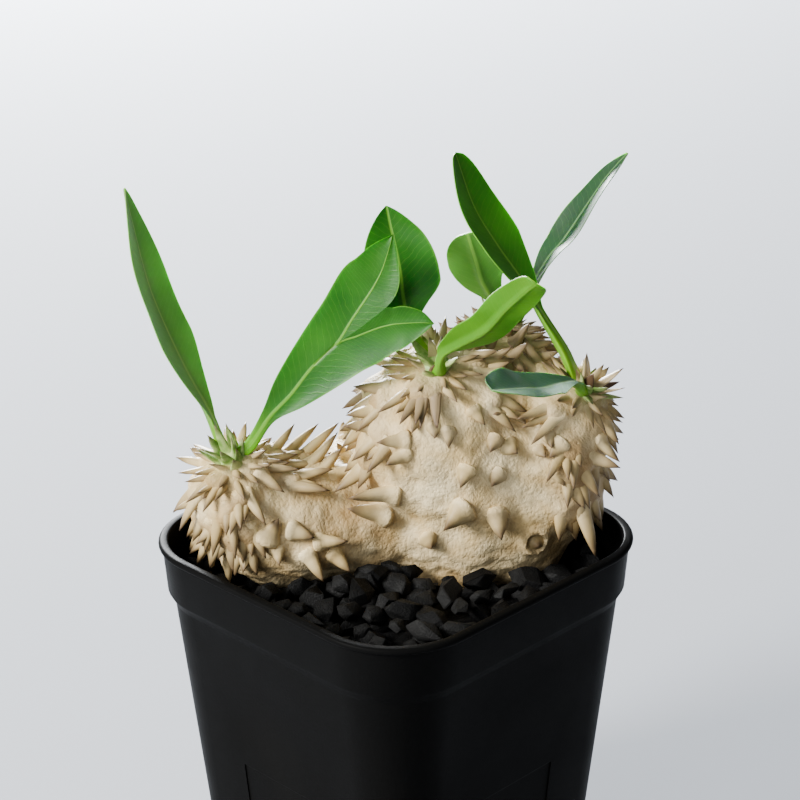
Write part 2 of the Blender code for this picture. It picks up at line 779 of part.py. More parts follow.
def forked_point(flat, rib):
    """A point of the forked leaf from its x and z: in its plane, and curled up away from the rib."""
    (x, z), (rib_x, rib_z) = flat, rib
    stalk = Vector(FORKED_STALK)
    y = stalk.y + FORKED_LEAN[0] * (x - stalk.x) + FORKED_LEAN[1] * (z - stalk.z)
    away = math.hypot(x - rib_x, z - rib_z)
    return Vector((x, y, z)) + Vector(FORKED_FACE).normalized() * FORKED_CURL * away


def forked_half(seat, edge, rib, inner, flip):
    """One half of the forked leaf from its outer edge over its rib to its inner edge."""
    face = Vector(FORKED_FACE).normalized()
    aim = (Vector(FORKED_STALK) - seat).normalized()
    side = aim.cross(face).normalized() * (-1 if flip else 1)
    grid = []
    for place in (seat, Vector(FORKED_STALK)):
        cells = [(place + side * PETIOLE_HALF * reach, face, PETIOLE_THICK) for reach in (1, 0.5, 0)]
        grid.append(cells + [cells[2]] * 2)
    fork = len(rib) - len(inner) - 1
    last = len(rib) - 1
    for row, spot in enumerate(rib):
        share = (row + 2) / (last + 2)
        middle = forked_point(spot, spot)
        outer = forked_point(edge[row], spot) if row < last else middle
        within = forked_point(inner[row - fork], spot) if fork <= row < last else middle
        places = [outer, outer.lerp(middle, 0.5), middle, middle.lerp(within, 0.5), within]
        thick = [thickness_at(share, across, 0) for across in (1, 0.5, 0, 0.5, 1)]
        if row < fork:
            thick[3:] = [thick[2]] * 2
        grid.append([(place, face, depth) for place, depth in zip(places, thick)])
    return [cells[::-1] for cells in grid] if flip else grid


def forked_grids(seat):
    """Both halves, and which of their vertices are shared."""
    upper = forked_half(seat, UPPER_EDGE, UPPER_RIB, UPPER_INNER, False)
    lower = forked_half(seat, LOWER_EDGE, LOWER_RIB, LOWER_INNER, True)
    fork = len(upper) - len(UPPER_INNER) - 1
    notch = fork + 2
    welds = {}
    for row in range(fork):
        for column in (3, 4):
            welds[0, row, column] = (0, row, 2)
        for column in (0, 1, 2):
            welds[1, row, column] = (0, row, 2)
    for row in range(fork, notch):
        welds[1, row, 0] = (0, row, 4)
    last = len(upper) - 1
    for grid in (0, 1):
        for column in range(5):
            welds[grid, last, column] = (grid, last, 2)
    return [upper, lower], welds


def make_leaf(name, leaf, points, parts, surface):
    seat = seat_of(points[leaf["tip"]], leaf["rib"][0])
    grid = leaf_rows(leaf, seat, LEAF_ROWS)
    return object_from(name, thick_sheet([grid], {}), parts, surface)


def stalks():
    """Each leaf's name, the tip it grows from, the first point of its stalk and its face there."""
    found = [(name, leaf["tip"], leaf["rib"][0], leaf["face"][0]) for name, leaf in LEAVES.items()]
    return [*found, ("leaf_forked", FORKED_TIP, FORKED_STALK, FORKED_FACE)]


def petiole_hole(name, here, towards, face, collection):
    """A cylinder round the stalk's root, with room to spare."""
    seat = seat_of(here, towards)
    aim = (Vector(towards) - seat).normalized()
    face = Vector(face)
    face = (face - aim * face.dot(aim)).normalized()
    axis = seat - face * PETIOLE_THICK / 2
    bm = bmesh.new()
    turn = aim.to_track_quat("Z", "Y").to_matrix().to_4x4()
    middle = axis + aim * (HOLE_DEPTH / 2 - GAP / MM)
    bmesh.ops.create_cone(
        bm, cap_ends=True, segments=10, radius1=HOLE_RADIUS * MM, radius2=HOLE_RADIUS * MM,
        depth=HOLE_DEPTH * MM, matrix=Matrix.Translation(middle * MM) @ turn,
    )
    return object_from(name, bm, collection)


def make_crown(name, here, parts, work, surface, clear_of):
    """A green growing tip: a low dome with young spines round it."""
    bm = bmesh.new()
    turn = here["out"].to_track_quat("Z", "Y").to_matrix().to_4x4()
    place = Matrix.Translation(here["place"] * MM) @ turn
    bmesh.ops.create_uvsphere(
        bm, u_segments=CROWN_SIDES, v_segments=CROWN_RINGS, radius=1,
        matrix=place @ Matrix.Diagonal((*(Vector(CROWN_RADII) * MM), 1)),
    )
    crown = object_from(f"crown_{name}", bm, parts, surface)
    first, second = frame_at(here["out"])
    kept = []
    for number in range(CROWN_SPINES * 2):
        around = number * GOLDEN_ANGLE
        ring = 0.35 + 0.65 * (number % CROWN_SPINES) / CROWN_SPINES
        across = first * math.cos(around) + second * math.sin(around)
        lean = math.radians(YOUNG_UPRIGHT + YOUNG_SPREAD * ring)
        aim = here["out"] * math.cos(lean) + across * math.sin(lean)
        root = here["place"] + across * CROWN_RADII[0] * 0.72 * ring + here["out"] * 1.0
        length = YOUNG_LENGTH - YOUNG_SHORTER * ring
        places = samples_along(root, aim, length, aim * 0)
        if len(kept) == CROWN_SPINES or is_near(clear_of, places, YOUNG_CLEARANCE):
            continue
        thorn(work, f"young_{name}_{number}", root, aim, length, YOUNG_RADIUS)
        kept.append((root, aim, length))
    apply_boolean(crown, "UNION", work)
    return crown, kept


def is_near(tree, places, limit):
    return any(tree.find(p)[2] is not None and tree.find(p)[2] < limit for p in places)


def tree_of_points(points):
    tree = KDTree(len(points))
    for number, point in enumerate(points):
        tree.insert(point, number)
    tree.balance()
    return tree


def leaf_samples(points):
    """Places close together all over the leaves, which the spines keep clear of."""
    places = []
    grids = [
        leaf_rows(leaf, seat_of(points[leaf["tip"]], leaf["rib"][0]), 3 * LEAF_ROWS)
        for leaf in LEAVES.values()
    ]
    grids += forked_grids(seat_of(points[FORKED_TIP], FORKED_STALK))[0]
    for grid in grids:
        for cells in grid:
            for (a, normal, thick), (b, _, _) in zip(cells[:-1], cells[1:]):
                for share in (0, 0.25, 0.5, 0.75, 1):
                    places.append(a.lerp(b, share) - normal * thick / 2)
    return places


def make_plant(parts, work, surfaces):
    skin = trunk_skin("caudex", parts)
    skin.data.materials.append(surfaces["bark"])
    tree = tree_of(skin)
    points = growing_points(tree)
    leaf_tree = tree_of_points(leaf_samples(points))

    crown_places = []
    for name, here in points.items():
        crown, young = make_crown(name, here, parts, work, surfaces["young"], leaf_tree)
        for root, aim, length in young:
            crown_places += samples_along(root, aim, length, aim * 0, 9)
        for leaf_name, tip, towards, face in stalks():
            if tip == name:
                petiole_hole(f"hole_{leaf_name}", here, towards, face, work)
        apply_boolean(crown, "DIFFERENCE", work)
    crown_tree = tree_of_points(crown_places)

    spines = []
    for root, aim, length, radius, normal, age in single_thorns() + spine_plan(tree, points):
        bend = bend_of(aim, normal, length)
        places = samples_along(root, aim, length, bend)
        if min(p.z for p in places) < LOWEST_SPINE or any(near_wall(p) for p in places):
            continue
        if is_near(leaf_tree, places, LEAF_CLEARANCE) or is_near(crown_tree, places, CROWN_CLEARANCE):
            continue
        thorn(work, f"spine_{len(spines)}", root - aim * SPINE_ROOT, aim, length + SPINE_ROOT, radius, bend)
        spines.append(places)
    apply_boolean(skin, "UNION", work)

    for name, here in points.items():
        bm = bmesh.new()
        turn = here["out"].to_track_quat("Z", "Y").to_matrix().to_4x4()
        room = Vector([radius + SOCKET_ROOM for radius in CROWN_RADII])
        bmesh.ops.create_uvsphere(
            bm, u_segments=CROWN_SIDES, v_segments=CROWN_RINGS, radius=1,
            matrix=Matrix.Translation(here["place"] * MM) @ turn @ Matrix.Diagonal((*(room * MM), 1)),
        )
        object_from(f"socket_{name}", bm, work)
    for leaf_name, tip, towards, face in stalks():
        petiole_hole(f"room_{leaf_name}", points[tip], towards, face, work)
    apply_boolean(skin, "DIFFERENCE", work)

    for name, leaf in LEAVES.items():
        make_leaf(name, leaf, points, parts, surfaces["leaf"])
    grids, welds = forked_grids(seat_of(points[FORKED_TIP], FORKED_STALK))
    object_from("leaf_forked", thick_sheet(grids, welds), parts, surfaces["leaf"])
    return spines


def heap_rise(place):
    """How far the gravel stands above its level top at a place in plant millimetres."""
    gone = math.hypot(place.x - HEAP_AT[0], place.y - HEAP_AT[1])
    return HEAP_RISE * math.exp(-((gone / HEAP_WIDTH) ** 2) / 2) * MM


def stone_places(draw, clear):
    """Where the top stones lie, in staggered rows, each with its size."""
    turn_back = Matrix.Rotation(-PLANT_TURN, 3, "Z")
    edge = BAND_FOOT_HALF - clear - 0.7 * MM
    corner = LIP_CORNER - (LIP_HALF - edge)
    rows = int(2 * edge / STONE_PITCH) + 2
    for row in range(rows):
        for column in range(rows):
            x = (column + 0.5 * (row % 2) - rows / 2) * STONE_PITCH + draw.uniform(-1, 1) * STONE_SHIFT
            y = (row - rows / 2) * STONE_ROW_PITCH + draw.uniform(-1, 1) * STONE_SHIFT
            size = STONE_RADIUS * draw.uniform(0.8, 1.15)
            lift = draw.uniform(-0.4, 0.9) * MM
            reach = size * STONE_REACH
            over = Vector((max(0, abs(x) - (edge - corner)), max(0, abs(y) - (edge - corner))))
            if max(abs(x), abs(y)) > edge - reach or over.length > corner - reach:
                continue
            place = Vector((x, y, GRAVEL_TOP + lift))
            seen = turn_back @ Vector((x, y, place.z - POT_HEIGHT)) / MM
            rise = heap_rise(seen)
            place.z += rise
            seen.z += rise / MM
            if field(np.array([seen]))[0] > DEEPEST_UNDER_TRUNK:
                yield place, seen, size


def make_gravel(parts, work, plant, surface, spines):
    """Gravel as one fill with its top stones fused on, and a plain hole for the trunk."""
    draw = random.Random(11)
    clear = WALL + GAP
    profile = [
        (body_half(FLOOR + GAP) - clear, FLOOR + GAP),
        (SHOULDER_HALF - clear, SHOULDER_Z - GAP),
        (BAND_FOOT_HALF - clear - 0.5 * MM, BAND_FOOT),
        (BAND_FOOT_HALF - clear - 0.5 * MM, GRAVEL_TOP),
    ]
    fill = object_from("gravel", loft([pot_section(half, z) for half, z in profile]), parts, surface)
    spine_tree = tree_of_points([p for places in spines for p in places])

    mound = bmesh.new()
    middle = Matrix.Rotation(PLANT_TURN, 3, "Z") @ Vector((*HEAP_AT, 0)) * MM
    middle.z = GRAVEL_TOP
    radii = Vector((2 * HEAP_WIDTH * MM, 2 * HEAP_WIDTH * MM, HEAP_RISE * MM))
    bmesh.ops.create_uvsphere(
        mound, u_segments=12, v_segments=6, radius=1,
        matrix=Matrix.Translation(middle) @ Matrix.Diagonal((*radii, 1)),
    )
    object_from("mound", mound, work)

    for number, (place, seen, size) in enumerate(stone_places(draw, clear)):
        spin = draw.uniform(0, math.tau)
        tilt = draw.uniform(-0.9, 0.9)
        shape = (draw.uniform(0.95, 1.25), draw.uniform(0.7, 0.95), draw.uniform(0.6, 0.8))
        if spine_tree.find(seen)[2] < size / MM * STONE_CORNER + SPINE_ROOM:
            continue
        bm = bmesh.new()
        bmesh.ops.create_cube(bm, size=STONE_BLOCK * size)
        for vert in bm.verts:
            vert.co = [c * draw.uniform(0.72, 1.15) for c in vert.co]
        bm.transform(Matrix.Rotation(tilt, 4, "X") @ Matrix.Diagonal((*shape, 1)))
        bm.transform(Matrix.Translation(place) @ Matrix.Rotation(spin, 4, "Z"))
        object_from(f"stone_{number}", bm, work)
    apply_boolean(fill, "UNION", work)
    hole = trunk_skin("trunk_hole", work, HOLE_CLEARANCE)
    hole.parent = plant
    apply_boolean(fill, "DIFFERENCE", work)


def main():
    clear_scene()
    parts = new_collection("potted_pachypodium")
    work = new_collection("cutters")
    surfaces = {
        "plastic": material("black_plastic", (0.012, 0.012, 0.013), 0.45),
        "stone": material("black_stone", (0.02, 0.02, 0.021), 0.8),
        "bark": material("pale_bark", (0.60, 0.50, 0.36), 0.75),
        "young": material("young_green", (0.25, 0.42, 0.10), 0.5),
        "leaf": material("leaf_green", (0.05, 0.22, 0.03), 0.4),
    }
    make_pot(parts, work, surfaces["plastic"])
    before = set(parts.objects)
    spines = make_plant(parts, work, surfaces)
    plant = bpy.data.objects.new("plant", None)
    parts.objects.link(plant)
    plant.location = (0, 0, POT_HEIGHT)
    plant.rotation_euler = (0, 0, PLANT_TURN)
    for obj in set(parts.objects) - before - {plant}:
        obj.parent = plant
    make_gravel(parts, work, plant, surfaces["stone"], spines)
    work.hide_render = True


main()
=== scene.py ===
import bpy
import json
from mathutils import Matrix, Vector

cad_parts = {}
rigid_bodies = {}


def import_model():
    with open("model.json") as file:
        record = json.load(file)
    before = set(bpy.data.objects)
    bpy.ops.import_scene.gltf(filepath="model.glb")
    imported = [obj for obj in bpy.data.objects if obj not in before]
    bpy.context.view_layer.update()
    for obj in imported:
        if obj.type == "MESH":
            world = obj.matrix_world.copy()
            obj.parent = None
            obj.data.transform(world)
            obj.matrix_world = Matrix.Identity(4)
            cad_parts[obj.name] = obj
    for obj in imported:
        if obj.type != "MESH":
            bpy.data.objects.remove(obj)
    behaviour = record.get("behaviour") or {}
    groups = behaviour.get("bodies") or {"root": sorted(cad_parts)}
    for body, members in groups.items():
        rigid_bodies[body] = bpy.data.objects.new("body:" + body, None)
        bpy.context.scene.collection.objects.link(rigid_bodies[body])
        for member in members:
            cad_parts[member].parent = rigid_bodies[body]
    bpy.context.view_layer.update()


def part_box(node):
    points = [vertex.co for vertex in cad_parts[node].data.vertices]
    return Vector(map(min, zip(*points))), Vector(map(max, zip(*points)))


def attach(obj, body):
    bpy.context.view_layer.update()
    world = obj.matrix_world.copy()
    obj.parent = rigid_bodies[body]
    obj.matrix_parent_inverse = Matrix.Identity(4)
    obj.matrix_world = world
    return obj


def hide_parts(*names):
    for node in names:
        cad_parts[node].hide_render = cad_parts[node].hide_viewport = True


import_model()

import json
import math
import random

import bmesh
import bpy
import numpy as np
from mathutils import Matrix, Vector, noise
from mathutils.bvhtree import BVHTree
from mathutils.kdtree import KDTree

# Nursery pot
# A square pot of thin black plastic with rounded corners, moulded in one piece. Its lip is a
# rolled bead above a plain band, and its foot has a shallow panel and drain slits on every side.
MM = 0.001
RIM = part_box("pot")[1][2]
LIP_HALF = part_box("pot")[1][0]
LIP_CORNER = 20.3 * MM
LIP_WIDTH = 2.3 * MM
LIP_HEIGHT = 1.6 * MM
BAND_HALF = 44.1 * MM
BAND_FOOT = 87.2 * MM
BAND_FOOT_HALF = 43.4 * MM
SHOULDER_HALF = 41.8 * MM
SHOULDER_Z = 85 * MM
TAPER = 0.107
WALL = 1.4 * MM
FLOOR = 1.6 * MM
SLIT_WIDTH = 3.2 * MM
SLIT_HEIGHT = 22 * MM
SLIT_INTO_BASE = 9 * MM
PANEL_TOP = 49 * MM
PANEL_FOOT = 4 * MM
PANEL_HALF_WIDTH = 13 * MM
PANEL_DEPTH = 0.4 * MM
FOOT_RADIUS = 1.2 * MM
SMALL_RADIUS = 0.5 * MM
SLIT_EDGE = 0.3 * MM
CORNER_STEPS = 14
CRISP_ANGLE = math.radians(38)
BLACK_PLASTIC = (0.0034, 0.0034, 0.0033)
DUSTY_PLASTIC = (0.0062, 0.0060, 0.0054)


def piece_from(bm, name, material, smooth=True):
    """A new object in the row frame, with its normals outward and smooth shading where wanted."""
    bmesh.ops.recalc_face_normals(bm, faces=bm.faces)
    for face in bm.faces:
        face.smooth = smooth
    mesh = bpy.data.meshes.new(name)
    bm.to_mesh(mesh)
    bm.free()
    made = bpy.data.objects.new(name, mesh)
    bpy.context.collection.objects.link(made)
    if material is not None:
        mesh.materials.append(material)
    return made


def applied(obj):
    """The object's modifiers made part of its mesh."""
    bpy.context.view_layer.update()
    graph = bpy.context.evaluated_depsgraph_get()
    mesh = bpy.data.meshes.new_from_object(obj.evaluated_get(graph))
    obj.modifiers.clear()
    obj.data = mesh
    return obj


def finish_named(name, roughness, **sockets):
    """A new material with its node tree and its Principled shader."""
    made = bpy.data.materials.new(name)
    made.use_nodes = True
    shader = made.node_tree.nodes["Principled BSDF"]
    shader.inputs["Roughness"].default_value = roughness
    for key, value in sockets.items():
        shader.inputs[key.replace("_", " ").title().replace("Ior", "IOR")].default_value = value
    return made, made.node_tree, shader


def new_group(name, inputs, outputs):
    """A node group with named inputs and outputs, each given as its kind and first value."""
    group = bpy.data.node_groups.new(name, "ShaderNodeTree")
    for label, (kind, value) in inputs.items():
        socket = group.interface.new_socket(label, in_out="INPUT", socket_type=kind)
        if value is not None:
            socket.default_value = value
    for label, kind in outputs.items():
        group.interface.new_socket(label, in_out="OUTPUT", socket_type=kind)
    return group, group.nodes.new("NodeGroupInput"), group.nodes.new("NodeGroupOutput")


def ramp(tree, source, stops):
    """A colour ramp through the stops, each a place and a grey value or colour."""
    made = tree.nodes.new("ShaderNodeValToRGB")
    bar = made.color_ramp.elements
    while len(bar) < len(stops):
        bar.new(0.5)
    for element, (place, value) in zip(bar, stops):
        element.position = place
        element.color = (*value, 1) if isinstance(value, tuple) else (value, value, value, 1)
    tree.links.new(source, made.inputs["Fac"])
    return made.outputs["Color"]


def blend_colour(tree, share, first, second, mode="MIX"):
    """One colour into another by a mask. Each may be a colour or a socket."""
    made = tree.nodes.new("ShaderNodeMix")
    made.data_type = "RGBA"
    made.blend_type = mode
    for slot, value in ((made.inputs[0], share), (made.inputs[6], first), (made.inputs[7], second)):
        if isinstance(value, bpy.types.NodeSocket):
            tree.links.new(value, slot)
        elif isinstance(value, tuple):
            slot.default_value = (*value, 1)
        else:
            slot.default_value = value
    return made.outputs[2]


def calculate(tree, operation, *values, clamp=False):
    """A sum of sockets or numbers, as a socket."""
    made = tree.nodes.new("ShaderNodeMath")
    made.operation = operation
    made.use_clamp = clamp
    for slot, value in zip(made.inputs, values):
        if isinstance(value, bpy.types.NodeSocket):
            tree.links.new(value, slot)
        else:
            slot.default_value = value
    return made.outputs[0]


def bumped(tree, shader, height, distance, strength=1.0):
    """A fine relief on the shader, with its full height in metres."""
    made = tree.nodes.new("ShaderNodeBump")
    made.inputs["Strength"].default_value = strength
    made.inputs["Distance"].default_value = distance
    tree.links.new(height, made.inputs["Height"])
    tree.links.new(made.outputs["Normal"], shader.inputs["Normal"])


def mottle_group():
    """Soft patches and fine specks, both from object coordinates, stretched as asked."""
    group, given, put = new_group(
        "mottle",
        {"Patch Scale": ("NodeSocketFloat", 60.0), "Speck Scale": ("NodeSocketFloat", 900.0),
         "Stretch": ("NodeSocketVector", (1.0, 1.0, 1.0))},
        {"Patches": "NodeSocketFloat", "Specks": "NodeSocketFloat"},
    )
    place = group.nodes.new("ShaderNodeTexCoord")
    stretch = group.nodes.new("ShaderNodeVectorMath")
    stretch.operation = "MULTIPLY"
    group.links.new(place.outputs["Object"], stretch.inputs[0])
    group.links.new(given.outputs["Stretch"], stretch.inputs[1])
    for label, scale, detail in (("Patches", "Patch Scale", 4.0), ("Specks", "Speck Scale", 3.0)):
        cloud = group.nodes.new("ShaderNodeTexNoise")
        cloud.inputs["Detail"].default_value = detail
        group.links.new(stretch.outputs[0], cloud.inputs["Vector"])
        group.links.new(given.outputs[scale], cloud.inputs["Scale"])
        group.links.new(cloud.outputs["Fac"], put.inputs[label])
    return group


MOTTLE = mottle_group()


def mottled(tree, patch, speck, stretch=(1, 1, 1)):
    """The mottle group placed in a material: its patches and its specks."""
    made = tree.nodes.new("ShaderNodeGroup")
    made.node_tree = MOTTLE
    made.inputs["Patch Scale"].default_value = patch
    made.inputs["Speck Scale"].default_value = speck
    made.inputs["Stretch"].default_value = stretch
    return made.outputs["Patches"], made.outputs["Specks"]


def plastic_finish():
    """Satin black plastic, dusty in soft patches and faint vertical streaks."""
    made, tree, shader = finish_named("black nursery plastic", 0.45, specular_ior_level=0.012)
    patches, specks = mottled(tree, 35, 1600)
    streaks, _ = mottled(tree, 90, 100, (1, 1, 0.08))
    dust = ramp(tree, patches, [(0.45, 0.0), (0.75, 1.0)])
    grime = calculate(tree, "MULTIPLY", dust, ramp(tree, streaks, [(0.4, 0.2), (0.7, 1.0)]))
    colour = blend_colour(tree, calculate(tree, "MULTIPLY", grime, 0.6), BLACK_PLASTIC, DUSTY_PLASTIC)
    tree.links.new(colour, shader.inputs["Base Color"])
    tree.links.new(ramp(tree, patches, [(0.3, 0.38), (0.7, 0.55)]), shader.inputs["Roughness"])
    bumped(tree, shader, specks, 0.00004, 0.6)
    return made


def body_half(z):
    """Half the body's width below the shoulder."""
    return SHOULDER_HALF - TAPER * (SHOULDER_Z - z)


def rounded_square(half, corner, z, steps):
    """Points of a square with rounded corners, counter-clockwise."""
    points = []
    for quarter in range(4):
        spin = Matrix.Rotation(math.pi / 2 * quarter, 2)
        middle = spin @ Vector((half - corner, half - corner))
        for step in range(steps + 1):
            angle = math.pi / 2 * (quarter + step / steps)
            points.append((middle.x + corner * math.cos(angle), middle.y + corner * math.sin(angle), z))
    return points


def arc(middle, radius, start, end, steps):
    """Half widths and heights along a round edge of the profile, angles in degrees."""
    turns = [math.radians(start + (end - start) * i / steps) for i in range(steps + 1)]
    return [(middle[0] + radius * math.cos(t), middle[1] + radius * math.sin(t)) for t in turns]


def pot_profile():
    """The wall's section from the foot up the outside, over the lip and down the inside."""
    foot = FOOT_RADIUS
    bead = LIP_HEIGHT / 2
    small = SMALL_RADIUS
    inner = LIP_HALF - LIP_WIDTH
    return [
        *arc((body_half(0) - foot, foot), foot, -90, -6, 4),
        (SHOULDER_HALF - small / 4, SHOULDER_Z - small),
        (SHOULDER_HALF + small / 3, SHOULDER_Z + small / 2),
        (BAND_FOOT_HALF - small, BAND_FOOT - small / 2),
        (BAND_FOOT_HALF - small / 5, BAND_FOOT + small),
        (BAND_HALF, RIM - LIP_HEIGHT - small),
        (BAND_HALF + small / 3, RIM - LIP_HEIGHT),
        *arc((LIP_HALF - bead, RIM - bead), bead, -70, 90, 7),
        *arc((inner + small, RIM - small), small, 90, 180, 3),
        (inner, RIM - LIP_HEIGHT + small),
        (BAND_HALF - WALL, RIM - LIP_HEIGHT - small),
        (BAND_FOOT_HALF - WALL - small, BAND_FOOT),
        (SHOULDER_HALF - WALL, SHOULDER_Z),
        (body_half(FLOOR) - WALL, FLOOR),
    ]


def slot_cutter(name, size, middle, turn, tilt=0.0):
    """A block with softened edges, turned to one side of the pot, that cuts a slit or a panel."""
    bm = bmesh.new()
    place = Matrix.Rotation(turn, 4, "Z") @ Matrix.Translation(middle) @ Matrix.Rotation(tilt, 4, "Y")
    bmesh.ops.create_cube(bm, size=1, matrix=place @ Matrix.Diagonal((*size, 1)))
    level = [e for e in bm.edges if abs((e.verts[0].co - e.verts[1].co).normalized().z) < 0.5]
    bmesh.ops.bevel(bm, geom=level, offset=SLIT_EDGE, segments=2, affect="EDGES")
    return piece_from(bm, name, None)


def make_pot():
    """The moulded wall, with a panel and a slit cut into each side and a slit into each corner."""
    bm = bmesh.new()
    rings = []
    for half, z in pot_profile():
        corner = LIP_CORNER - (LIP_HALF - half)
        rings.append([bm.verts.new(p) for p in rounded_square(half, corner, z, CORNER_STEPS)])
    for low, high in zip(rings[:-1], rings[1:]):
        for i in range(len(low)):
            j = (i + 1) % len(low)
            bm.faces.new((low[i], low[j], high[j], high[i]))
    bm.faces.new(reversed(rings[0]))
    bm.faces.new(rings[-1])
    pot = piece_from(bm, "pot_wall", plastic_finish())
    cutters = bpy.data.collections.new("pot cutters")
    middle = (PANEL_TOP + PANEL_FOOT) / 2
    deep = 4 * MM
    reach = SLIT_INTO_BASE + 6 * MM
    foot_corner = body_half(0) * math.sqrt(2)
    foot_corner -= (LIP_CORNER - LIP_HALF + body_half(0)) * (math.sqrt(2) - 1)
    for side in range(4):
        turn = math.pi / 2 * side
        face = body_half(middle) - PANEL_DEPTH + deep / 2
        panel = (deep, 2 * PANEL_HALF_WIDTH, PANEL_TOP - PANEL_FOOT)
        made = [slot_cutter("panel", panel, (face, 0, middle), turn, math.atan(TAPER))]
        slit = (reach, SLIT_WIDTH, 2 * SLIT_HEIGHT)
        for out, spin in ((body_half(0), turn), (foot_corner, turn + math.pi / 4)):
            made.append(slot_cutter("slit", slit, (out - SLIT_INTO_BASE + reach / 2, 0, 0), spin))
        for cutter in made:
            bpy.context.collection.objects.unlink(cutter)
            cutters.objects.link(cutter)
    cut = pot.modifiers.new("cut", "BOOLEAN")
    cut.operand_type = "COLLECTION"
    cut.collection = cutters
    cut.solver = "EXACT"
    applied(pot)
    for cutter in list(cutters.objects):
        bpy.data.objects.remove(cutter)
    bpy.data.collections.remove(cutters)
    pot.data.set_sharp_from_angle(angle=CRISP_ANGLE)
    return pot


pot = make_pot()
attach(pot, "root")
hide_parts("pot")

# Trunk
# One living body: a small lobe and a large one that has swollen to a barrel, with silky cream
# bark that is bare in front. Thick thorns stand in pairs on it, in spirals round each growing tip.
DIAGONAL = math.radians(45)
AT_RIM = Matrix.Translation((0, 0, RIM)) @ Matrix.Rotation(DIAGONAL, 4, "Z")
# The plant lies along the pot's diagonal. Its sizes are in millimetres from the rim's middle: x from
# the small lobe to the large one, y away from the bare front, z up.
PLANT = AT_RIM @ Matrix.Scale(MM, 4)
BLEND = 5.0
BODY_VOXEL = 0.85
COARSE_VOXEL = 3.0
BODY_FOOT = -17
OUTSIDE = 80
# The lobes of the trunk, each a middle and three radii
LOBES = [
    ((19, 10, 6), (26, 17, 27)),
    ((11, 7, 22.5), (19, 16.5, 21)),
    ((33, 8, 15), (14, 14, 19)),
    ((39, 6, 26.5), (9, 9, 10.5)),
    ((22, 19, 24), (18.5, 15, 19.5)),
    ((-25, 6, 0), (19.5, 15, 15)),
    ((-36, 3, 10), (10.5, 11, 10)),
    ((-7, 9, -1), (14, 14, 12)),
    ((-9, 24, 1), (13, 12, 12)),
    ((6, 14, -16), (26, 15, 14)),
]
# Each growing tip: where it sits, the middle that its spines radiate from, how many pairs of them
# spiral round it and how far apart they stand
TIPS = {
    "left": {"at": (-38, -1, 20.5), "heart": (-31, 5, 3), "count": 34, "spread": 0.235},
    "middle": {"at": (9, 0, 44), "heart": (14, 9, 18), "count": 38, "spread": 0.225},
    "right": {"at": (44, 3, 35), "heart": (28, 9, 12), "count": 36, "spread": 0.22},
    "back": {"at": (25, 23, 43.5), "heart": (21, 16, 16), "count": 40, "spread": 0.21},
}
GOLDEN_ANGLE = math.pi * (3 - math.sqrt(5))
TUBERCLE_START = 3.8
SPINE_LENGTH = 8.4
SPINE_RADIUS = 1.35
SPINE_ROOT = 1.3
SPINE_CURVE = 0.16
LEAN_SCATTER = 7
LEAST_RISE = 0.42
# Young thorns close round each tip: how far out a ring of them is and how many it has
COLLARS = [(3.9, 9), (6.2, 13)]
OLD_REACH = 24
YOUNG_LEAN = 64
OLD_LEAN = 54
# Stretches without spirals, each a middle and how far it reaches
BARE = [
    ((14, -10, 9), 23.5),
    ((-16, -7, 8), 9.5),
    ((-25, -7, 12), 6.5),
    ((-23, -9, -1), 10),
    ((8.3, -9, 32.5), 5),
]
# The cleft under the middle tip, where a dried brown pair of thorns lies
CLEFT = (8.3, -5.5, 37)
CLEFT_ROOM = 3.2
CLEFT_FADE = 3
# The bulge behind and the short thorns on it: its middle, their number and how far round they go
BACK_HEART = (2, 14, 0)
BACK_THORNS = 22
BACK_SWEEP = 1.2
# Round scars where old thorns broke off: place, radius and depth
SCARS = [((32, -5, 0.5), 2.2, 3.0), ((23, -7, 18), 1.8, 0.7), ((8, -5, 1), 1.3, 0.5)]
# Tan stretches of bark: middle, radii and how tan each is. The first two are weathered bark; the third, on
# the large lobe's right flank, is partly weathering and partly painted shade on that side.
TAN_PATCHES = [
    ((-15, -7, 6), (10, 9, 8), 1),
    ((-6, -2, 6), (6, 14, 12), 0.8),
    ((44, -3, 16), (9, 12, 16), 0.9),
]
# How tan the foot of the trunk is: partly the bark's own colour and partly painted shade on the lower bark.
TAN_FOOT = 0.75
YOUNG_REACH = 5.0
CUSHION = 0.7
TALLEST_CUSHION = 2.2
THORN_RIDGE = 0.07
THORN_BLUNT = 2.8
CREAM_BARK = (0.60, 0.43, 0.19)
PALE_BARK = (0.84, 0.69, 0.40)
TAN_BARK = (0.24, 0.14, 0.05)
YOUNG_BARK = (0.52, 0.53, 0.25)
SPINE_CREAM = (0.58, 0.43, 0.22)
SPINE_OLIVE = (0.30, 0.212, 0.085)
SPINE_GREY = (0.20, 0.145, 0.085)
SPINE_TIP = (0.10, 0.062, 0.034)
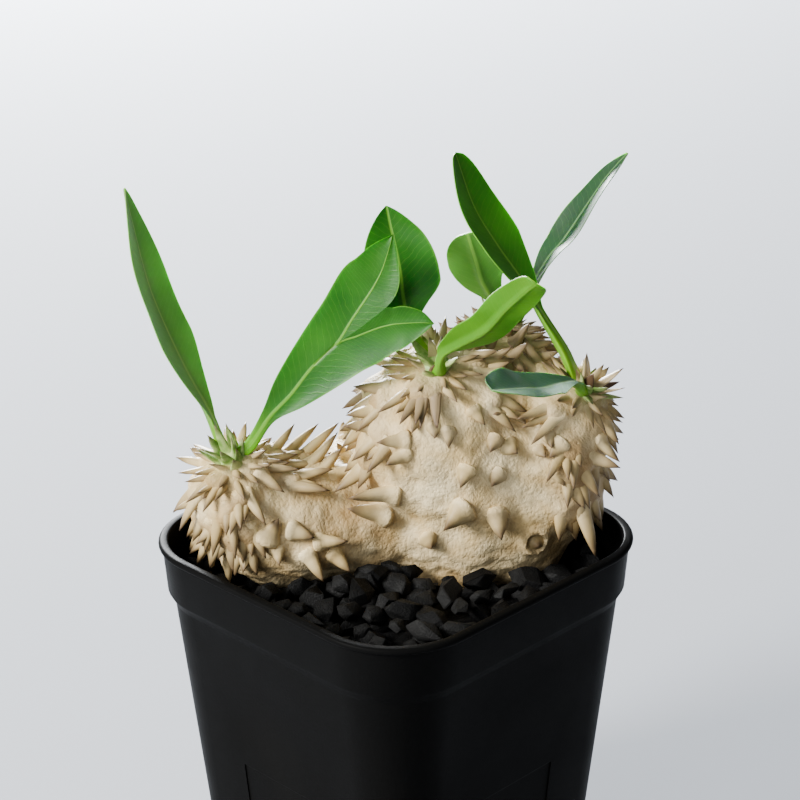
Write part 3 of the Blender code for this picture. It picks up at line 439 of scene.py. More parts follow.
# Old thorns that stand singly: root, way to the tip and base radius
THORNS = [
    ((7, -5, 37.5), (-0.6, -4.5, -8), 1.1),
    ((9.6, -5, 37.5), (0.2, -4.5, -8), 1),
    ((9, -8, 30), (0, -2, -1), 1.2),
    ((12, -8, 29), (0, -2.5, -2), 1.2),
    ((18, -6, 33), (2, -2.5, -2), 1.2),
    ((22, -6, 26), (-1, -2, -1.5), 1.4),
    ((26, -5, 24), (1.5, -2, -0.5), 1.6),
    ((16, -9, 20), (-1.5, -2.5, -2.5), 1.6),
    ((23, -7, 18), (-1, -2, -1.5), 1.6),
    ((15, -8, 10), (-3.5, -3.5, -3), 2.4),
    ((23, -7, 8), (1, -4, -4), 2),
    ((0, -4, 13), (-10, -2.5, 1), 2),
    ((-3, -2, 6), (-8, -3, 3), 2),
    ((2, -7, 27), (-5.5, -2, 0.5), 1.6),
    ((2, -8, 24), (-4, -2.5, -1.5), 1.6),
    ((-6, 1, 17), (-7, -3.5, -4.5), 2),
    ((8, -5, 1), (0.5, -2, -1), 1.6),
    ((32, -4, 0), (0.5, -1.5, 0), 1.6),
    ((37, -4, 24), (-2, -2.5, -1.5), 1.6),
    ((44, -1, 20), (6.5, -2.5, -1.5), 1.6),
    ((42, -3, 18), (4, -4.5, -5), 1.6),
    ((40, -4, 14), (2.5, -3.5, -4), 1.6),
    ((42, -2, 8), (4, -7, -9), 2),
    ((46, 1, 23), (4, -3, -4), 1.6),
    ((47, 3, 27), (3, -3, -4.5), 1.6),
    ((48, 6, 29), (4.5, -1, -2), 1.4),
    ((28, -1, 30), (1.5, -2.5, -1.5), 1.2),
    ((35, -4, 26), (0.5, -2.5, -1.5), 1.2),
    ((41, -4, 23), (1, -3, -3), 1.2),
    ((37, -5, 17), (1, -2, -1.5), 1.2),
    ((33, -5, 23), (1, -2, -0.5), 1),
    ((-5, -1, 28), (-6, -1.5, 0.5), 1.6),
    ((-4, 0, 31), (-6, -2, 0), 1.6),
    ((-2, 1, 36), (-6.5, -1.5, 1.5), 1.6),
    ((5, -7, 32), (-1, -2.5, -2), 1.2),
    ((13, 23, 41), (-2.5, 1, 2.5), 1.2),
    ((16, 24, 42), (-1.5, 1, 2.5), 1.2),
    ((18, 24, 43), (-1.5, 1, 2.5), 1.2),
    ((21, 24, 44), (-2.5, 1.5, 3.5), 1.6),
    ((23, 24, 43), (1.5, 1, 2), 1.2),
    ((29, 20, 42), (5.5, 0, 1.5), 1.2),
    ((30, 17, 41), (5, -0.5, 1.5), 1.2),
    ((32, 16, 40), (5, -0.5, 1.5), 1.2),
    ((34, 14, 38), (4, -0.5, 1.5), 1.2),
    ((37, 17, 35), (4, 0, 1.5), 1.2),
    ((-29, 7, 17), (5.5, 2, 6), 1.5),
    ((-26, 11, 15), (7.5, 3, 7), 1.7),
    ((-22, 10, 14), (8, 3, 8), 1.7),
    ((-20, 6, 14), (7, 1, 7), 1.6),
    ((-17, 5, 14), (4.5, 0.5, 5), 1.6),
    ((-14, 5, 13), (8, -1, 3), 1.8),
    ((-29, -8, 4), (2.5, 0, 4.5), 2),
    ((-23, -8, 5), (4, -2.5, -0.5), 1.6),
    ((-17, -8, 2), (6, -2, 1.5), 1.6),
    ((-20, -8, -1), (3, -4.5, -4), 1.6),
    ((-14, -7, -2), (3.5, -3, -2.5), 1.6),
    ((-34, -7, -1), (-0.5, -3, -3), 1.4),
    ((-27, -9, 0), (0.5, -2.5, -2), 1.2),
    ((-38, -8, 11), (-0.5, -4.5, -4.5), 1.2),
    ((-36, -8, 11), (-1.5, -5, -4.5), 1.2),
    ((-42, -4, 4), (-3.5, -2, -3), 1.2),
    ((-31, -3, 16), (5, -3.5, -2.5), 1.5),
    ((-43, 2, -5), (4.5, -1, -3), 1.2),
    ((-39, -3, -6), (0, -2.5, -4), 1.2),
    ((6, -6, 38), (-0.5, -4.5, -8), 1.2),
    ((9, -6, 38), (0.5, -4.5, -7.5), 1.2),
    ((17, 4, 42), (6, -2, 3), 1.4),
    ((18, 9, 43), (5, -1, 5), 1.4),
    ((22, 6, 41), (5, -2, 4), 1.4),
    ((22, 11, 43), (3, -2, 6), 1.4),
    ((27, 9, 41), (4, -3, 5), 1.4),
    ((28, 14, 42), (3, -3, 6), 1.4),
    ((20, 15, 44), (0, -3, 6), 1.4),
    ((14, 10, 44), (3, 0, 6), 1.4),
]
# Each leaf: the tip it grows from, its midrib, the way its upper face looks, half its greatest
# width and where that is along it, how much of it is stalk, how far each half folds up in degrees
# and how round its end is. The thorns that spiral and ring round the tips keep clear of them all.
RIB_STEPS = 24
PETIOLE_HALF = 1.4
LEAST_HALF = 0.12
SEAT_OFF = 2.3
SEAT_UP = 1.0
THORN_CLEARANCE = 1.0
LEAVES = {
    "leaf_left_tall": {
        "tip": "left",
        "rib": [(-42, 0.5, 31), (-48, 2, 43), (-54.5, 5, 59), (-58, 7.5, 74), (-59.5, 8.5, 82)],
        "face": [(0.88, -0.36, 0.3), (0.88, -0.36, 0.3)],
        "half": 7.2,
        "widest": 0.45,
        "stalk": 0.06,
        "fold": 14,
        "point": 0.8,
    },
    "leaf_broad": {
        "tip": "middle",
        "rib": [(4.5, 3, 48.5), (2.5, 5, 55), (1.5, 8, 62), (0.5, 10, 67), (-0.5, 12, 71),
                (-1.5, 14, 75.5)],
        "face": [(0.1, -0.95, 0.3), (0.15, -0.9, 0.4)],
        "half": 9.0,
        "widest": 0.5,
        "stalk": 0.16,
        "fold": 12,
        "point": 0.85,
    },
    "leaf_near": {
        "tip": "middle",
        "rib": [(11, -8.5, 49), (14.5, -13, 53), (20, -19, 58.5), (24, -26, 66), (28, -32.5, 72.5),
                (29.5, -37, 75.5)],
        "face": [(0.06, 0.8, 0.7), (0.5, 0.62, 0.55)],
        "half": 4.6,
        "widest": 0.4,
        "stalk": 0.06,
        "fold": 10,
        "point": 0.24,
    },
    "leaf_long": {
        "tip": "right",
        "rib": [(39, 2.5, 45), (33.5, 3, 53.5), (29, 3.5, 61), (23, 5, 69.5), (18, 8, 77.5),
                (14, 12, 88.5)],
        "face": [(0.71, -0.51, 0.5), (0.71, -0.51, 0.6)],
        "half": 7.5,
        "widest": 0.62,
        "stalk": 0.26,
        "fold": 17,
        "point": 0.5,
    },
    "leaf_low": {
        "tip": "right",
        "rib": [(41, -4.5, 40), (37, -9, 41.5), (32.5, -14, 42.5), (28, -20, 45), (21, -28, 48)],
        "face": [(-0.1, -0.35, 0.9), (-0.1, -0.35, 0.9)],
        "half": 7.2,
        "widest": 0.62,
        "stalk": 0.1,
        "fold": 14,
        "point": 0.42,
    },
    "leaf_far": {
        "tip": "back",
        "rib": [(35.5, 27, 57), (40, 29.5, 62), (46, 33, 70), (50, 35.5, 75), (55, 38, 80)],
        "face": [(-0.69, -0.3, 0.5), (-0.69, -0.35, 0.5)],
        "half": 5.2,
        "widest": 0.5,
        "stalk": 0.1,
        "fold": 16,
        "point": 0.95,
    },
    "leaf_small_back": {
        "tip": "back",
        "rib": [(23, 20.5, 50.5), (20.5, 20, 55.5), (19, 19.5, 60.5), (17, 18, 67.5)],
        "face": [(0.05, 0.9, 0.4), (0.1, 0.95, 0.2)],
        "half": 7.0,
        "widest": 0.64,
        "stalk": 0.08,
        "fold": 8,
        "point": 0.5,
    },
}
# The forked leaf: its two halves' edges and ribs in x and z from the stalk to the two tips. The halves
# share the rib up to the fork and then a seam up to the notch, and lie in one leaning plane.
FORKED_TIP = "left"
FORKED_STALK = (-32.9, -1, 23.6)
FORKED_LEAN = (-0.206, 0.222)
FORKED_FACE = (-0.2, -0.95, 0.25)
FORKED_CURL = 0.16
UPPER_EDGE = [(-30, 31.5), (-27, 38.5), (-23, 45.5), (-18.5, 52.5), (-15.5, 57), (-12, 63),
              (-10, 65.5), (-8, 67), (-4.5, 70)]
UPPER_RIB = [(-28.5, 30), (-23.5, 35.5), (-18.5, 42), (-13, 47.5), (-9.5, 53), (-5.5, 59),
             (-4, 61.5), (-2.5, 64.5), (-1, 69), (0, 72.5)]
UPPER_INNER = [(-7.5, 51.5), (-2, 56), (0.5, 59), (1.5, 62.5), (1, 68.5)]
LOWER_INNER = [(-7.5, 51.5), (-2, 56), (0, 56.5), (2.5, 57), (6.5, 56)]
LOWER_RIB = [(-28.5, 30), (-23.5, 35.5), (-18.5, 42), (-13, 47.5), (-8.5, 49.5), (-4, 51.5),
             (-1, 52.5), (1.5, 53), (6, 53.5), (9, 53.5)]
LOWER_EDGE = [(-27.5, 29), (-20.5, 33), (-13.5, 37.5), (-7, 42), (-3.5, 44), (0, 46.5),
              (2, 47.5), (4, 49), (7, 51.5)]


def field(points):
    """Distance from the trunk's skin, under zero inside: a smooth union of the lobes."""
    total = None
    for middle, radii in LOBES:
        radii = np.array(radii, float)
        scaled = (points - np.array(middle, float)) / radii
        near = np.linalg.norm(scaled, axis=1)
        lobe = near * (near - 1) / (np.linalg.norm(scaled / radii, axis=1) + 1e-9)
        if total is None:
            total = lobe
            continue
        mix = np.clip(0.5 + 0.5 * (lobe - total) / BLEND, 0, 1)
        total = lobe * (1 - mix) + total * mix - BLEND * mix * (1 - mix)
    return total


def slope_of(points):
    """Which way the distance grows at each point, and how fast."""
    step = 0.05
    pairs = [(field(points + a) - field(points - a)) / (2 * step) for a in np.eye(3) * step]
    return np.stack(pairs, axis=1)


def snapped(points):
    """The points moved onto the trunk's skin."""
    for _ in range(4):
        slope = slope_of(points)
        size = np.maximum((slope * slope).sum(axis=1), 0.3)
        points = points - (field(points) / size)[:, None] * slope
    return points


def skin_normal(point):
    """The way straight out of the trunk."""
    return Vector(slope_of(np.array([point], float))[0]).normalized()


def trunk_mesh(voxel):
    """The lobes as balls, remeshed into one skin and drawn onto the smooth surface, in millimetres."""
    bm = bmesh.new()
    for middle, radii in LOBES:
        place = Matrix.Translation(middle) @ Matrix.Diagonal((*radii, 1))
        bmesh.ops.create_icosphere(bm, subdivisions=4, radius=1, matrix=place)
    balls = piece_from(bm, "lobes", None)
    remesh = balls.modifiers.new("remesh", "REMESH")
    remesh.mode = "VOXEL"
    remesh.voxel_size = voxel
    applied(balls)
    mesh = balls.data
    bpy.data.objects.remove(balls)
    points = np.empty(len(mesh.vertices) * 3)
    mesh.vertices.foreach_get("co", points)
    points = snapped(points.reshape(-1, 3))
    mesh.vertices.foreach_set("co", points.ravel())
    mesh.update()
    return mesh


def frame_at(normal):
    """Two directions square to the normal and to each other."""
    side = Vector((1, 0, 0)) if abs(normal.x) < 0.8 else Vector((0, 1, 0))
    first = normal.cross(side).normalized()
    return first, normal.cross(first).normalized()


def growing_points(tree):
    """Each tip on the trunk's skin, with its middle and the way it grows."""
    found = {}
    for name, tip in TIPS.items():
        place = tree.find_nearest(Vector(tip["at"]))[0]
        heart = Vector(tip["heart"])
        found[name] = {"place": place, "heart": heart, "out": (place - heart).normalized()}
    return found


def curve_through(points, fine):
    """A smooth curve through the points, with so many steps between each two."""
    path = [Vector(p) for p in points]
    padded = [path[0] * 2 - path[1], *path, path[-1] * 2 - path[-2]]
    dense = []
    for i in range(1, len(padded) - 2):
        a, b, c, d = padded[i - 1 : i + 3]
        for step in range(fine):
            t = step / fine
            square = (2 * a - 5 * b + 4 * c - d) * t * t
            dense.append(0.5 * (2 * b + (c - a) * t + square + (3 * b - a - 3 * c + d) * t**3))
    dense.append(path[-1])
    return dense


def smooth_path(points, count):
    """Points spaced evenly along a smooth curve through the given ones, with the direction at each."""
    dense = curve_through(points, RIB_STEPS)
    steps = [(b - a).length for a, b in zip(dense[:-1], dense[1:])]
    lengths = np.concatenate(([0], np.cumsum(steps)))
    goals = np.linspace(0, lengths[-1], count)
    table = np.array([tuple(p) for p in dense])
    places = [Vector([np.interp(g, lengths, table[:, k]) for k in range(3)]) for g in goals]
    ends = [(places[max(i - 1, 0)], places[min(i + 1, count - 1)]) for i in range(count)]
    headings = [(after - before).normalized() for before, after in ends]
    return places, headings, lengths[-1]


def blade_half(share, leaf):
    """Half the leaf's width at this share of its length: a stalk, then a blade widest past the middle."""
    stalk = leaf["stalk"]
    if share < stalk:
        return PETIOLE_HALF * (1.25 - 0.4 * share / max(stalk, 0.05))
    along = (share - stalk) / (1 - stalk)
    top = (leaf["widest"] - stalk) / (1 - stalk)
    if along < top:
        rise = along / top
        swell = 0.45 * rise + 0.55 * rise * rise * (3 - 2 * rise)
    else:
        fall = (along - top) / (1 - top)
        swell = max(0.0, 1 - fall**2.3) ** leaf["point"]
    return max(PETIOLE_HALF * 0.85 * (1 - along), leaf["half"] * swell, LEAST_HALF)


def seat_of(here, towards):
    """Where a stalk's root sits in its growing tip."""
    out = here["out"]
    side = Vector(towards) - here["place"]
    side = (side - out * side.dot(out)).normalized()
    return here["place"] + side * SEAT_OFF + out * SEAT_UP


def forked_point(flat, rib):
    """A point of the forked leaf from its x and z: in its plane, and curled up away from the rib."""
    (x, z), (rib_x, rib_z) = flat, rib
    stalk = Vector(FORKED_STALK)
    y = stalk.y + FORKED_LEAN[0] * (x - stalk.x) + FORKED_LEAN[1] * (z - stalk.z)
    away = math.hypot(x - rib_x, z - rib_z)
    return Vector((x, y, z)) + Vector(FORKED_FACE).normalized() * FORKED_CURL * away


def leaf_frames(leaf, rows):
    """Each row of a plain leaf: its place on the rib, its face and side directions and half width."""
    seat = seat_of(GROWING[leaf["tip"]], leaf["rib"][0])
    places, headings, length = smooth_path([seat, *leaf["rib"]], rows)
    start, end = (Vector(f).normalized() for f in leaf["face"])
    frames = []
    for row, (place, heading) in enumerate(zip(places, headings)):
        share = row / (rows - 1)
        face = start.lerp(end, share)
        face = (face - heading * face.dot(heading)).normalized()
        side = heading.cross(face).normalized()
        frames.append((share, place, face, side, blade_half(share, leaf)))
    return frames, length


def leaf_places():
    """Places all over the leaves."""
    places = []
    for leaf in LEAVES.values():
        for _, place, face, side, half in leaf_frames(leaf, 40)[0]:
            places += [place + side * half * step / 3 - face for step in range(-3, 4)]
    seat = seat_of(GROWING[FORKED_TIP], FORKED_STALK)
    places += [seat.lerp(Vector(FORKED_STALK), step / 5) for step in range(6)]
    for rib, edge in ((UPPER_RIB, UPPER_EDGE), (LOWER_RIB, LOWER_EDGE)):
        for spot, out in zip(rib, edge):
            middle, outer = forked_point(spot, spot), forked_point(out, spot)
            places += [middle.lerp(outer, step / 6) for step in range(7)]
    return places


def spiral_spines(tree, points):
    """Root, direction, length, radius and normal of every spine round the tips."""
    draw = random.Random(7)
    extra = random.Random(19)
    close = random.Random(23)
    plan = []
    for name, tip in TIPS.items():
        here = points[name]
        first, second = frame_at(here["out"])
        for reach, number in COLLARS:
            for step in range(number):
                around = math.tau * (step + close.uniform(-0.2, 0.2)) / number
                across = first * math.cos(around) + second * math.sin(around)
                spot = here["place"] + across * (reach + close.uniform(-0.5, 0.5))
                hit = tree.find_nearest(spot)[0]
                if (hit - Vector(CLEFT)).length < CLEFT_ROOM:
                    continue
                normal = skin_normal(hit)
                away = (across - normal * across.dot(normal)).normalized()
                lean = math.radians(close.uniform(48, 64))
                twist = normal.cross(away) * close.uniform(-0.2, 0.2)
                aim = (normal * math.cos(lean) + away * math.sin(lean) + twist).normalized()
                length = close.uniform(4.8, 7.0)
                plan.append((hit, aim, length, close.uniform(0.85, 1.1), normal))
        for number in range(tip["count"]):
            polar = tip["spread"] * math.sqrt(number + 1.2)
            around = number * GOLDEN_ANGLE
            across = first * math.cos(around) + second * math.sin(around)
            ray = here["out"] * math.cos(polar) + across * math.sin(polar)
            hit = tree.ray_cast(here["heart"] + ray * OUTSIDE, -ray)[0]
            if hit is None:
                continue
            reach = (hit - here["place"]).length
            others = [(hit - points[o]["place"]).length for o in points]
            if reach > min(others) + 0.01 or reach < TUBERCLE_START:
                continue
            if any((hit - Vector(middle)).length < radius for middle, radius in BARE):
                continue
            normal = skin_normal(hit)
            away = hit - here["place"]
            away = (away - normal * away.dot(normal)).normalized()
            age = min(1, (reach - TUBERCLE_START) / OLD_REACH)
            lean = YOUNG_LEAN + (OLD_LEAN - YOUNG_LEAN) * age + draw.uniform(-1, 1) * LEAN_SCATTER
            lean = math.radians(lean)
            side = normal.cross(away)
            length = SPINE_LENGTH * (1.1 - 0.25 * age) * draw.uniform(0.8, 1.15)
            radius = SPINE_RADIUS * (0.85 + 0.55 * age)
            gap = 1.1 + 0.5 * age
            for hand in (-1, 1):
                aim = normal * math.cos(lean) + away * math.sin(lean) + side * hand * 0.2
                plan.append((hit + side * hand * gap, aim.normalized(), length, radius, normal))
            lean = math.radians(extra.uniform(30, 70))
            aim = normal * math.cos(lean) + away * math.sin(lean) + side * extra.uniform(-0.3, 0.3)
            root = hit + away * extra.uniform(1.2, 2.2)
            shorter = length * extra.uniform(0.5, 0.8)
            plan.append((root, aim.normalized(), shorter, radius * 0.85, normal))
    return plan


def back_thorns(tree):
    """Short old thorns on the bulge and the bare foot behind."""
    draw = random.Random(31)
    plan = []
    heart = Vector(BACK_HEART)
    for number in range(BACK_THORNS):
        high = -0.1 + 0.8 * (number + 0.5) / BACK_THORNS
        around = math.pi / 2 + BACK_SWEEP * math.sin(number * GOLDEN_ANGLE)
        flat = math.sqrt(1 - high * high)
        ray = Vector((flat * math.cos(around), flat * math.sin(around), high))
        hit = tree.ray_cast(heart + ray * OUTSIDE, -ray)[0]
        normal = skin_normal(hit)
        aim = (normal + Vector((draw.uniform(-0.5, 0.5), 0, -0.5))).normalized()
        length = draw.uniform(3, 4.5)
        plan.append((hit, aim, length, draw.uniform(1.2, 1.6), normal))
    return plan


def single_thorns():
    """The thorns of the list, each raised a little on its cushion and never flat on the bark."""
    plan = []
    for root, way, radius in THORNS:
        place = Vector(snapped(np.array([root], float))[0])
        normal = skin_normal(place)
        aim = Vector(way).normalized()
        aim = (aim + normal * max(0, LEAST_RISE - aim.dot(normal))).normalized()
        plan.append((place + normal * 0.4 * radius, aim, Vector(way).length, radius, normal))
    return plan


def add_thorn(bm, root, aim, length, radius, normal, look, sides=12, rings=11, flat=0.8):
    """A claw: a curved, blunt cone whose foot flares into the bark and is drawn out behind it."""
    along_layer = bm.verts.layers.float["along"]
    tone_layer = bm.verts.layers.float["tone"]
    bend = (normal - aim * aim.dot(normal)) * length * SPINE_CURVE * math.cos(look * 40)
    side = aim.cross(normal)
    side = side.normalized() if side.length > 0.05 else frame_at(aim)[0]
    over = side.cross(aim).normalized()
    loops = []
    for ring in range(rings):
        share = (ring / rings) ** 1.1
        away = share * (length + SPINE_ROOT) - SPINE_ROOT
        point = root + aim * away + bend * max(share, 0) ** 2
        taper = (1 - share**THORN_BLUNT) ** 0.9
        fillet = 0.55 * math.exp(-max(away, 0) / (0.5 * radius))
        width = radius * (taper + fillet)
        loop = []
        for step in range(sides):
            angle = math.tau * step / sides
            ripple = 1 + THORN_RIDGE * math.sin(3 * angle + look * 20)
            shape = flat + (1 - flat) * fillet
            outward = side * width * ripple * math.cos(angle)
            upward = over * width * shape * ripple * math.sin(angle)
            vert = bm.verts.new(point + outward + upward)
            vert[along_layer] = share
            vert[tone_layer] = look
            loop.append(vert)
        loops.append(loop)
    tip = bm.verts.new(root + aim * (length + 0.25 * radius) + bend)
    tip[along_layer] = 1
    tip[tone_layer] = look
    for low, high in zip(loops[:-1], loops[1:]):
        for i in range(sides):
            j = (i + 1) % sides
            bm.faces.new((low[i], low[j], high[j], high[i]))
    for i in range(sides):
        bm.faces.new((loops[-1][i], loops[-1][(i + 1) % sides], tip))
    bm.faces.new(reversed(loops[0]))


def mesh_value(tree, name):
    """A value that the mesh carries at its points, as a socket."""
    made = tree.nodes.new("ShaderNodeAttribute")
    made.attribute_name = name
    return made.outputs["Fac"]


def bark_finish():
    """Cream bark, with painted tan shade in its folds and wrinkle valleys, and finely wrinkled. Thorns are
    smoother, with brown tips.
    """
    made, tree, shader = finish_named("silky cream bark", 0.5, specular_ior_level=0.2)
    patches, specks = mottled(tree, 110, 1500)
    swells, wrinkles = mottled(tree, 420, 1250, (1.0, 1.0, 0.85))
    fold = mesh_value(tree, "fold")
    tan = mesh_value(tree, "tan")
    young = mesh_value(tree, "young")
    along = mesh_value(tree, "along")
    tone = mesh_value(tree, "tone")
    smooth = ramp(tree, along, [(0.05, 1.0), (0.35, 0.15)])
    base = blend_colour(tree, ramp(tree, patches, [(0.35, 0.0), (0.65, 1.0)]), CREAM_BARK, PALE_BARK)
    # Tan of weathered bark, partly painted shade where it lies on the right flank and the foot.
    stain_and_shade = calculate(tree, "MULTIPLY", tan, ramp(tree, patches, [(0.3, 0.8), (0.7, 0.3)]))
    base = blend_colour(tree, stain_and_shade, base, TAN_BARK)
    # Painted shade: the wrinkle valleys turn a little tan.
    painted_valley_shade = calculate(tree, "MULTIPLY", ramp(tree, wrinkles, [(0.3, 1.0), (0.5, 0.0)]), smooth)
    base = blend_colour(tree, calculate(tree, "MULTIPLY", painted_valley_shade, 0.16), base, TAN_BARK)
    # Painted shade: the fold value turns the creases, the bark round and under the thorns and the scar
    # hollows tan.
    base = blend_colour(tree, calculate(tree, "MULTIPLY", fold, 0.8, clamp=True), base, TAN_BARK)
    base = blend_colour(tree, calculate(tree, "MULTIPLY", young, 0.5), base, YOUNG_BARK)
    base = blend_colour(tree, ramp(tree, along, [(0.03, 0.0), (0.3, 0.55), (0.85, 0.95)]), base, SPINE_OLIVE)
    base = blend_colour(tree, ramp(tree, tone, [(0.3, 0.0), (1.0, 0.85)]), base, SPINE_GREY)
    base = blend_colour(tree, ramp(tree, along, [(0.62, 0.0), (0.86, 0.7), (1.0, 1.0)]), base, SPINE_TIP)
    tree.links.new(base, shader.inputs["Base Color"])
    tree.links.new(ramp(tree, along, [(0.1, 0.55), (0.4, 0.48)]), shader.inputs["Roughness"])
    creases = ramp(tree, wrinkles, [(0.3, 0.0), (0.6, 1.0)])
    height = calculate(tree, "ADD", calculate(tree, "MULTIPLY", swells, 1.2), creases)
    height = calculate(tree, "ADD", height, calculate(tree, "MULTIPLY", specks, 0.3))
    bumped(tree, shader, calculate(tree, "MULTIPLY", height, smooth), 0.00013)
    return made


BARK = bark_finish()


def smooth_step(value, low, high):
    """From 0 at the low value to 1 at the high one, eased at both ends."""
    share = np.clip((value - low) / (high - low), 0, 1)
    return share * share * (3 - 2 * share)


def make_trunk_body(spines, points):
    """The skin with cushions under the thorns, folds at the ground and soft lumps. Its fold value is painted
    shade in creases, round and under the thorns and in the scars.
    """
    mesh = trunk_mesh(BODY_VOXEL)
    count = len(mesh.vertices)
    spots = np.empty(count * 3)
    mesh.vertices.foreach_get("co", spots)
    spots = spots.reshape(-1, 3)
    slope = slope_of(spots)
    normals = slope / np.linalg.norm(slope, axis=1)[:, None]
    push = np.zeros(count)
    fold = np.zeros(count)
    for root, aim, _, radius, _ in spines:
        gone = np.linalg.norm(spots - np.array(root - aim * 0.5 * radius), axis=1)
        push += CUSHION * radius * np.exp(-((gone / (1.7 * radius)) ** 2))
        # Painted shadow under each thorn's tip, and painted shade on the bark round the thorns, darkest where
        # they crowd.
        shade = np.linalg.norm(spots - np.array(root + aim * 1.3 * radius), axis=1)
        painted_shadow_under_tip = 0.4 * np.exp(-((shade / (0.9 * radius)) ** 2))
        fold += painted_shadow_under_tip + 0.22 * np.exp(-((gone / (2.2 * radius)) ** 2))
    push = np.minimum(push, TALLEST_CUSHION)
    lumps = np.array([noise.noise(Vector(p) * 0.13) for p in spots])
    ripples = np.array([noise.noise(Vector(p) * 0.38 + Vector((7, 3, 1))) for p in spots])
    low = 1 - smooth_step(spots[:, 2], -6, 5)
    waves = np.sin(spots[:, 2] * 1.5 + lumps * 6) * low
    push += 0.8 * lumps + 0.4 * ripples + 0.16 * waves
    # Painted shade in the troughs of the low waves and of the ripples.
    fold += 0.2 * np.maximum(0, -waves - 0.3) + 0.6 * np.maximum(0, -ripples - 0.12)
    # Tan patches and foot: weathered bark, with painted shade in the right-flank patch and at the foot.
    tan = np.zeros(count)
    for middle, radii, share in TAN_PATCHES:
        gone = np.linalg.norm((spots - np.array(middle)) / np.array(radii), axis=1)
        tan += share * np.exp(-(gone**2))
    tan += TAN_FOOT * (1 - smooth_step(spots[:, 2], -9, 6))
    for place, radius, depth in SCARS:
        middle = snapped(np.array([place], float))[0]
        gone = np.linalg.norm(spots - middle, axis=1) / radius
        push += 0.5 * depth * np.exp(-(((gone - 1.2) / 0.35) ** 2)) - depth * np.exp(-((gone / 0.85) ** 6))
        # Painted shade inside each scar's hollow.
        fold += 1.6 * np.exp(-((gone / 0.8) ** 6))
    young = np.zeros(count)
    for here in points.values():
        gone = np.linalg.norm(spots - np.array(here["place"]), axis=1)
        young += np.exp(-((gone / YOUNG_REACH) ** 2))
    mesh.vertices.foreach_set("co", (spots + normals * push[:, None]).ravel())
    for name, values in (("fold", fold), ("tan", tan), ("young", young)):
        layer = mesh.attributes.new(name, "FLOAT", "POINT")
        layer.data.foreach_set("value", np.clip(values, 0, 1).astype(np.float32))
    bm = bmesh.new()
    bm.from_mesh(mesh)
    bpy.data.meshes.remove(mesh)
    cut = bmesh.ops.bisect_plane(
        bm, geom=bm.verts[:] + bm.edges[:] + bm.faces[:], plane_co=(0, 0, BODY_FOOT),
        plane_no=(0, 0, 1), clear_inner=True,
    )
    bmesh.ops.edgeloop_fill(bm, edges=[e for e in cut["geom_cut"] if isinstance(e, bmesh.types.BMEdge)])
    bm.transform(PLANT)
    return piece_from(bm, "trunk_body", BARK)


def is_near(tree, places, limit):
    """Whether any of the places is closer to the tree's points than the limit."""
    return any(tree.find(p)[2] < limit for p in places)


def tree_of_points(points):
    """The points, ready to be searched for the nearest."""
    tree = KDTree(len(points))
    for number, point in enumerate(points):
        tree.insert(point, number)
    tree.balance()
    return tree


def make_spines(plan):
    """All thorns as one mesh, each sunk into the bark."""
    bm = bmesh.new()
    bm.verts.layers.float.new("along")
    bm.verts.layers.float.new("tone")
    tone = random.Random(5)
    for root, aim, length, radius, normal in plan:
        behind = max(0, min(1, (root.y - 1) / 9)) * max(0, min(1, (root.z - 22) / 14))
        dry = math.exp(-(((root - Vector(CLEFT)).length / CLEFT_FADE) ** 2))
        look = min(1, 0.75 * behind + 1.4 * dry + 0.6 * tone.random() ** 2)
        add_thorn(bm, root, aim, length, radius, normal, look)
    bm.transform(PLANT)
    return piece_from(bm, "trunk_spines", BARK)


coarse = trunk_mesh(COARSE_VOXEL)
SKIN = BVHTree.FromPolygons([v.co for v in coarse.vertices], [p.vertices[:] for p in coarse.polygons])
bpy.data.meshes.remove(coarse)
GROWING = growing_points(SKIN)
leaf_tree = tree_of_points(leaf_places())
thorns = single_thorns() + back_thorns(SKIN)
for thorn in spiral_spines(SKIN, GROWING):
    root, aim, length = thorn[:3]
    places = [root.lerp(root + aim * length, step / 5) for step in range(6)]
    if not is_near(leaf_tree, places, THORN_CLEARANCE):
        thorns.append(thorn)
trunk = make_trunk_body(thorns, GROWING)
spines = make_spines(thorns)
for piece in (trunk, spines):
    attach(piece, "root")
    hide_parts("caudex")

# Gravel
# A top dressing of black, angular, slightly porous grit 5 to 8 mm across on dark soil. It is
# level below the rim and heaped a little in the notch between the two lobes.
GRAVEL_LEVEL = -9.0
HEAP_AT = (-7, -8)
HEAP_RISE = 4.0
HEAP_WIDTH = 7.0
# How far below the surface each layer of stones lies and how many are tried in it
STONE_LAYERS = [(3.0, 1560), (0.0, 4680)]
STONE_REACH = 62
STONE_ROOM = 0.74
STONE_SIZES = (2.8, 5.0)
STONE_POINTS = 11
STONE_SEED = 11
SOIL_DROP = 4.5
SOIL_RINGS = 60
BLACK_STONE = (0.0018, 0.0018, 0.0018)
DUSTY_STONE = (0.012, 0.012, 0.0115)


def stone_finish():
    """Charcoal-like grit: near black and matt, some stones paler, dusty in patches, with tiny pores."""
    made, tree, shader = finish_named("black grit", 0.75, specular_ior_level=0.12)
    patches, specks = mottled(tree, 300, 2600)
    tone = mesh_value(tree, "tone")
    base = blend_colour(tree, calculate(tree, "MULTIPLY", tone, 0.5), BLACK_STONE, DUSTY_STONE)
    dust = ramp(tree, patches, [(0.5, 0.0), (0.75, 0.7)])
    base = blend_colour(tree, dust, base, DUSTY_STONE)
    tree.links.new(base, shader.inputs["Base Color"])
    tree.links.new(ramp(tree, specks, [(0.3, 0.5), (0.7, 0.85)]), shader.inputs["Roughness"])
    bumped(tree, shader, calculate(tree, "ADD", patches, specks), 0.0003, 0.9)
    return made


def ground_level(x, y):
    """The dressing's surface in the plant's millimetres."""
    gone = math.hypot(x - HEAP_AT[0], y - HEAP_AT[1])
    return GRAVEL_LEVEL + HEAP_RISE * math.exp(-((gone / HEAP_WIDTH) ** 2) / 2)


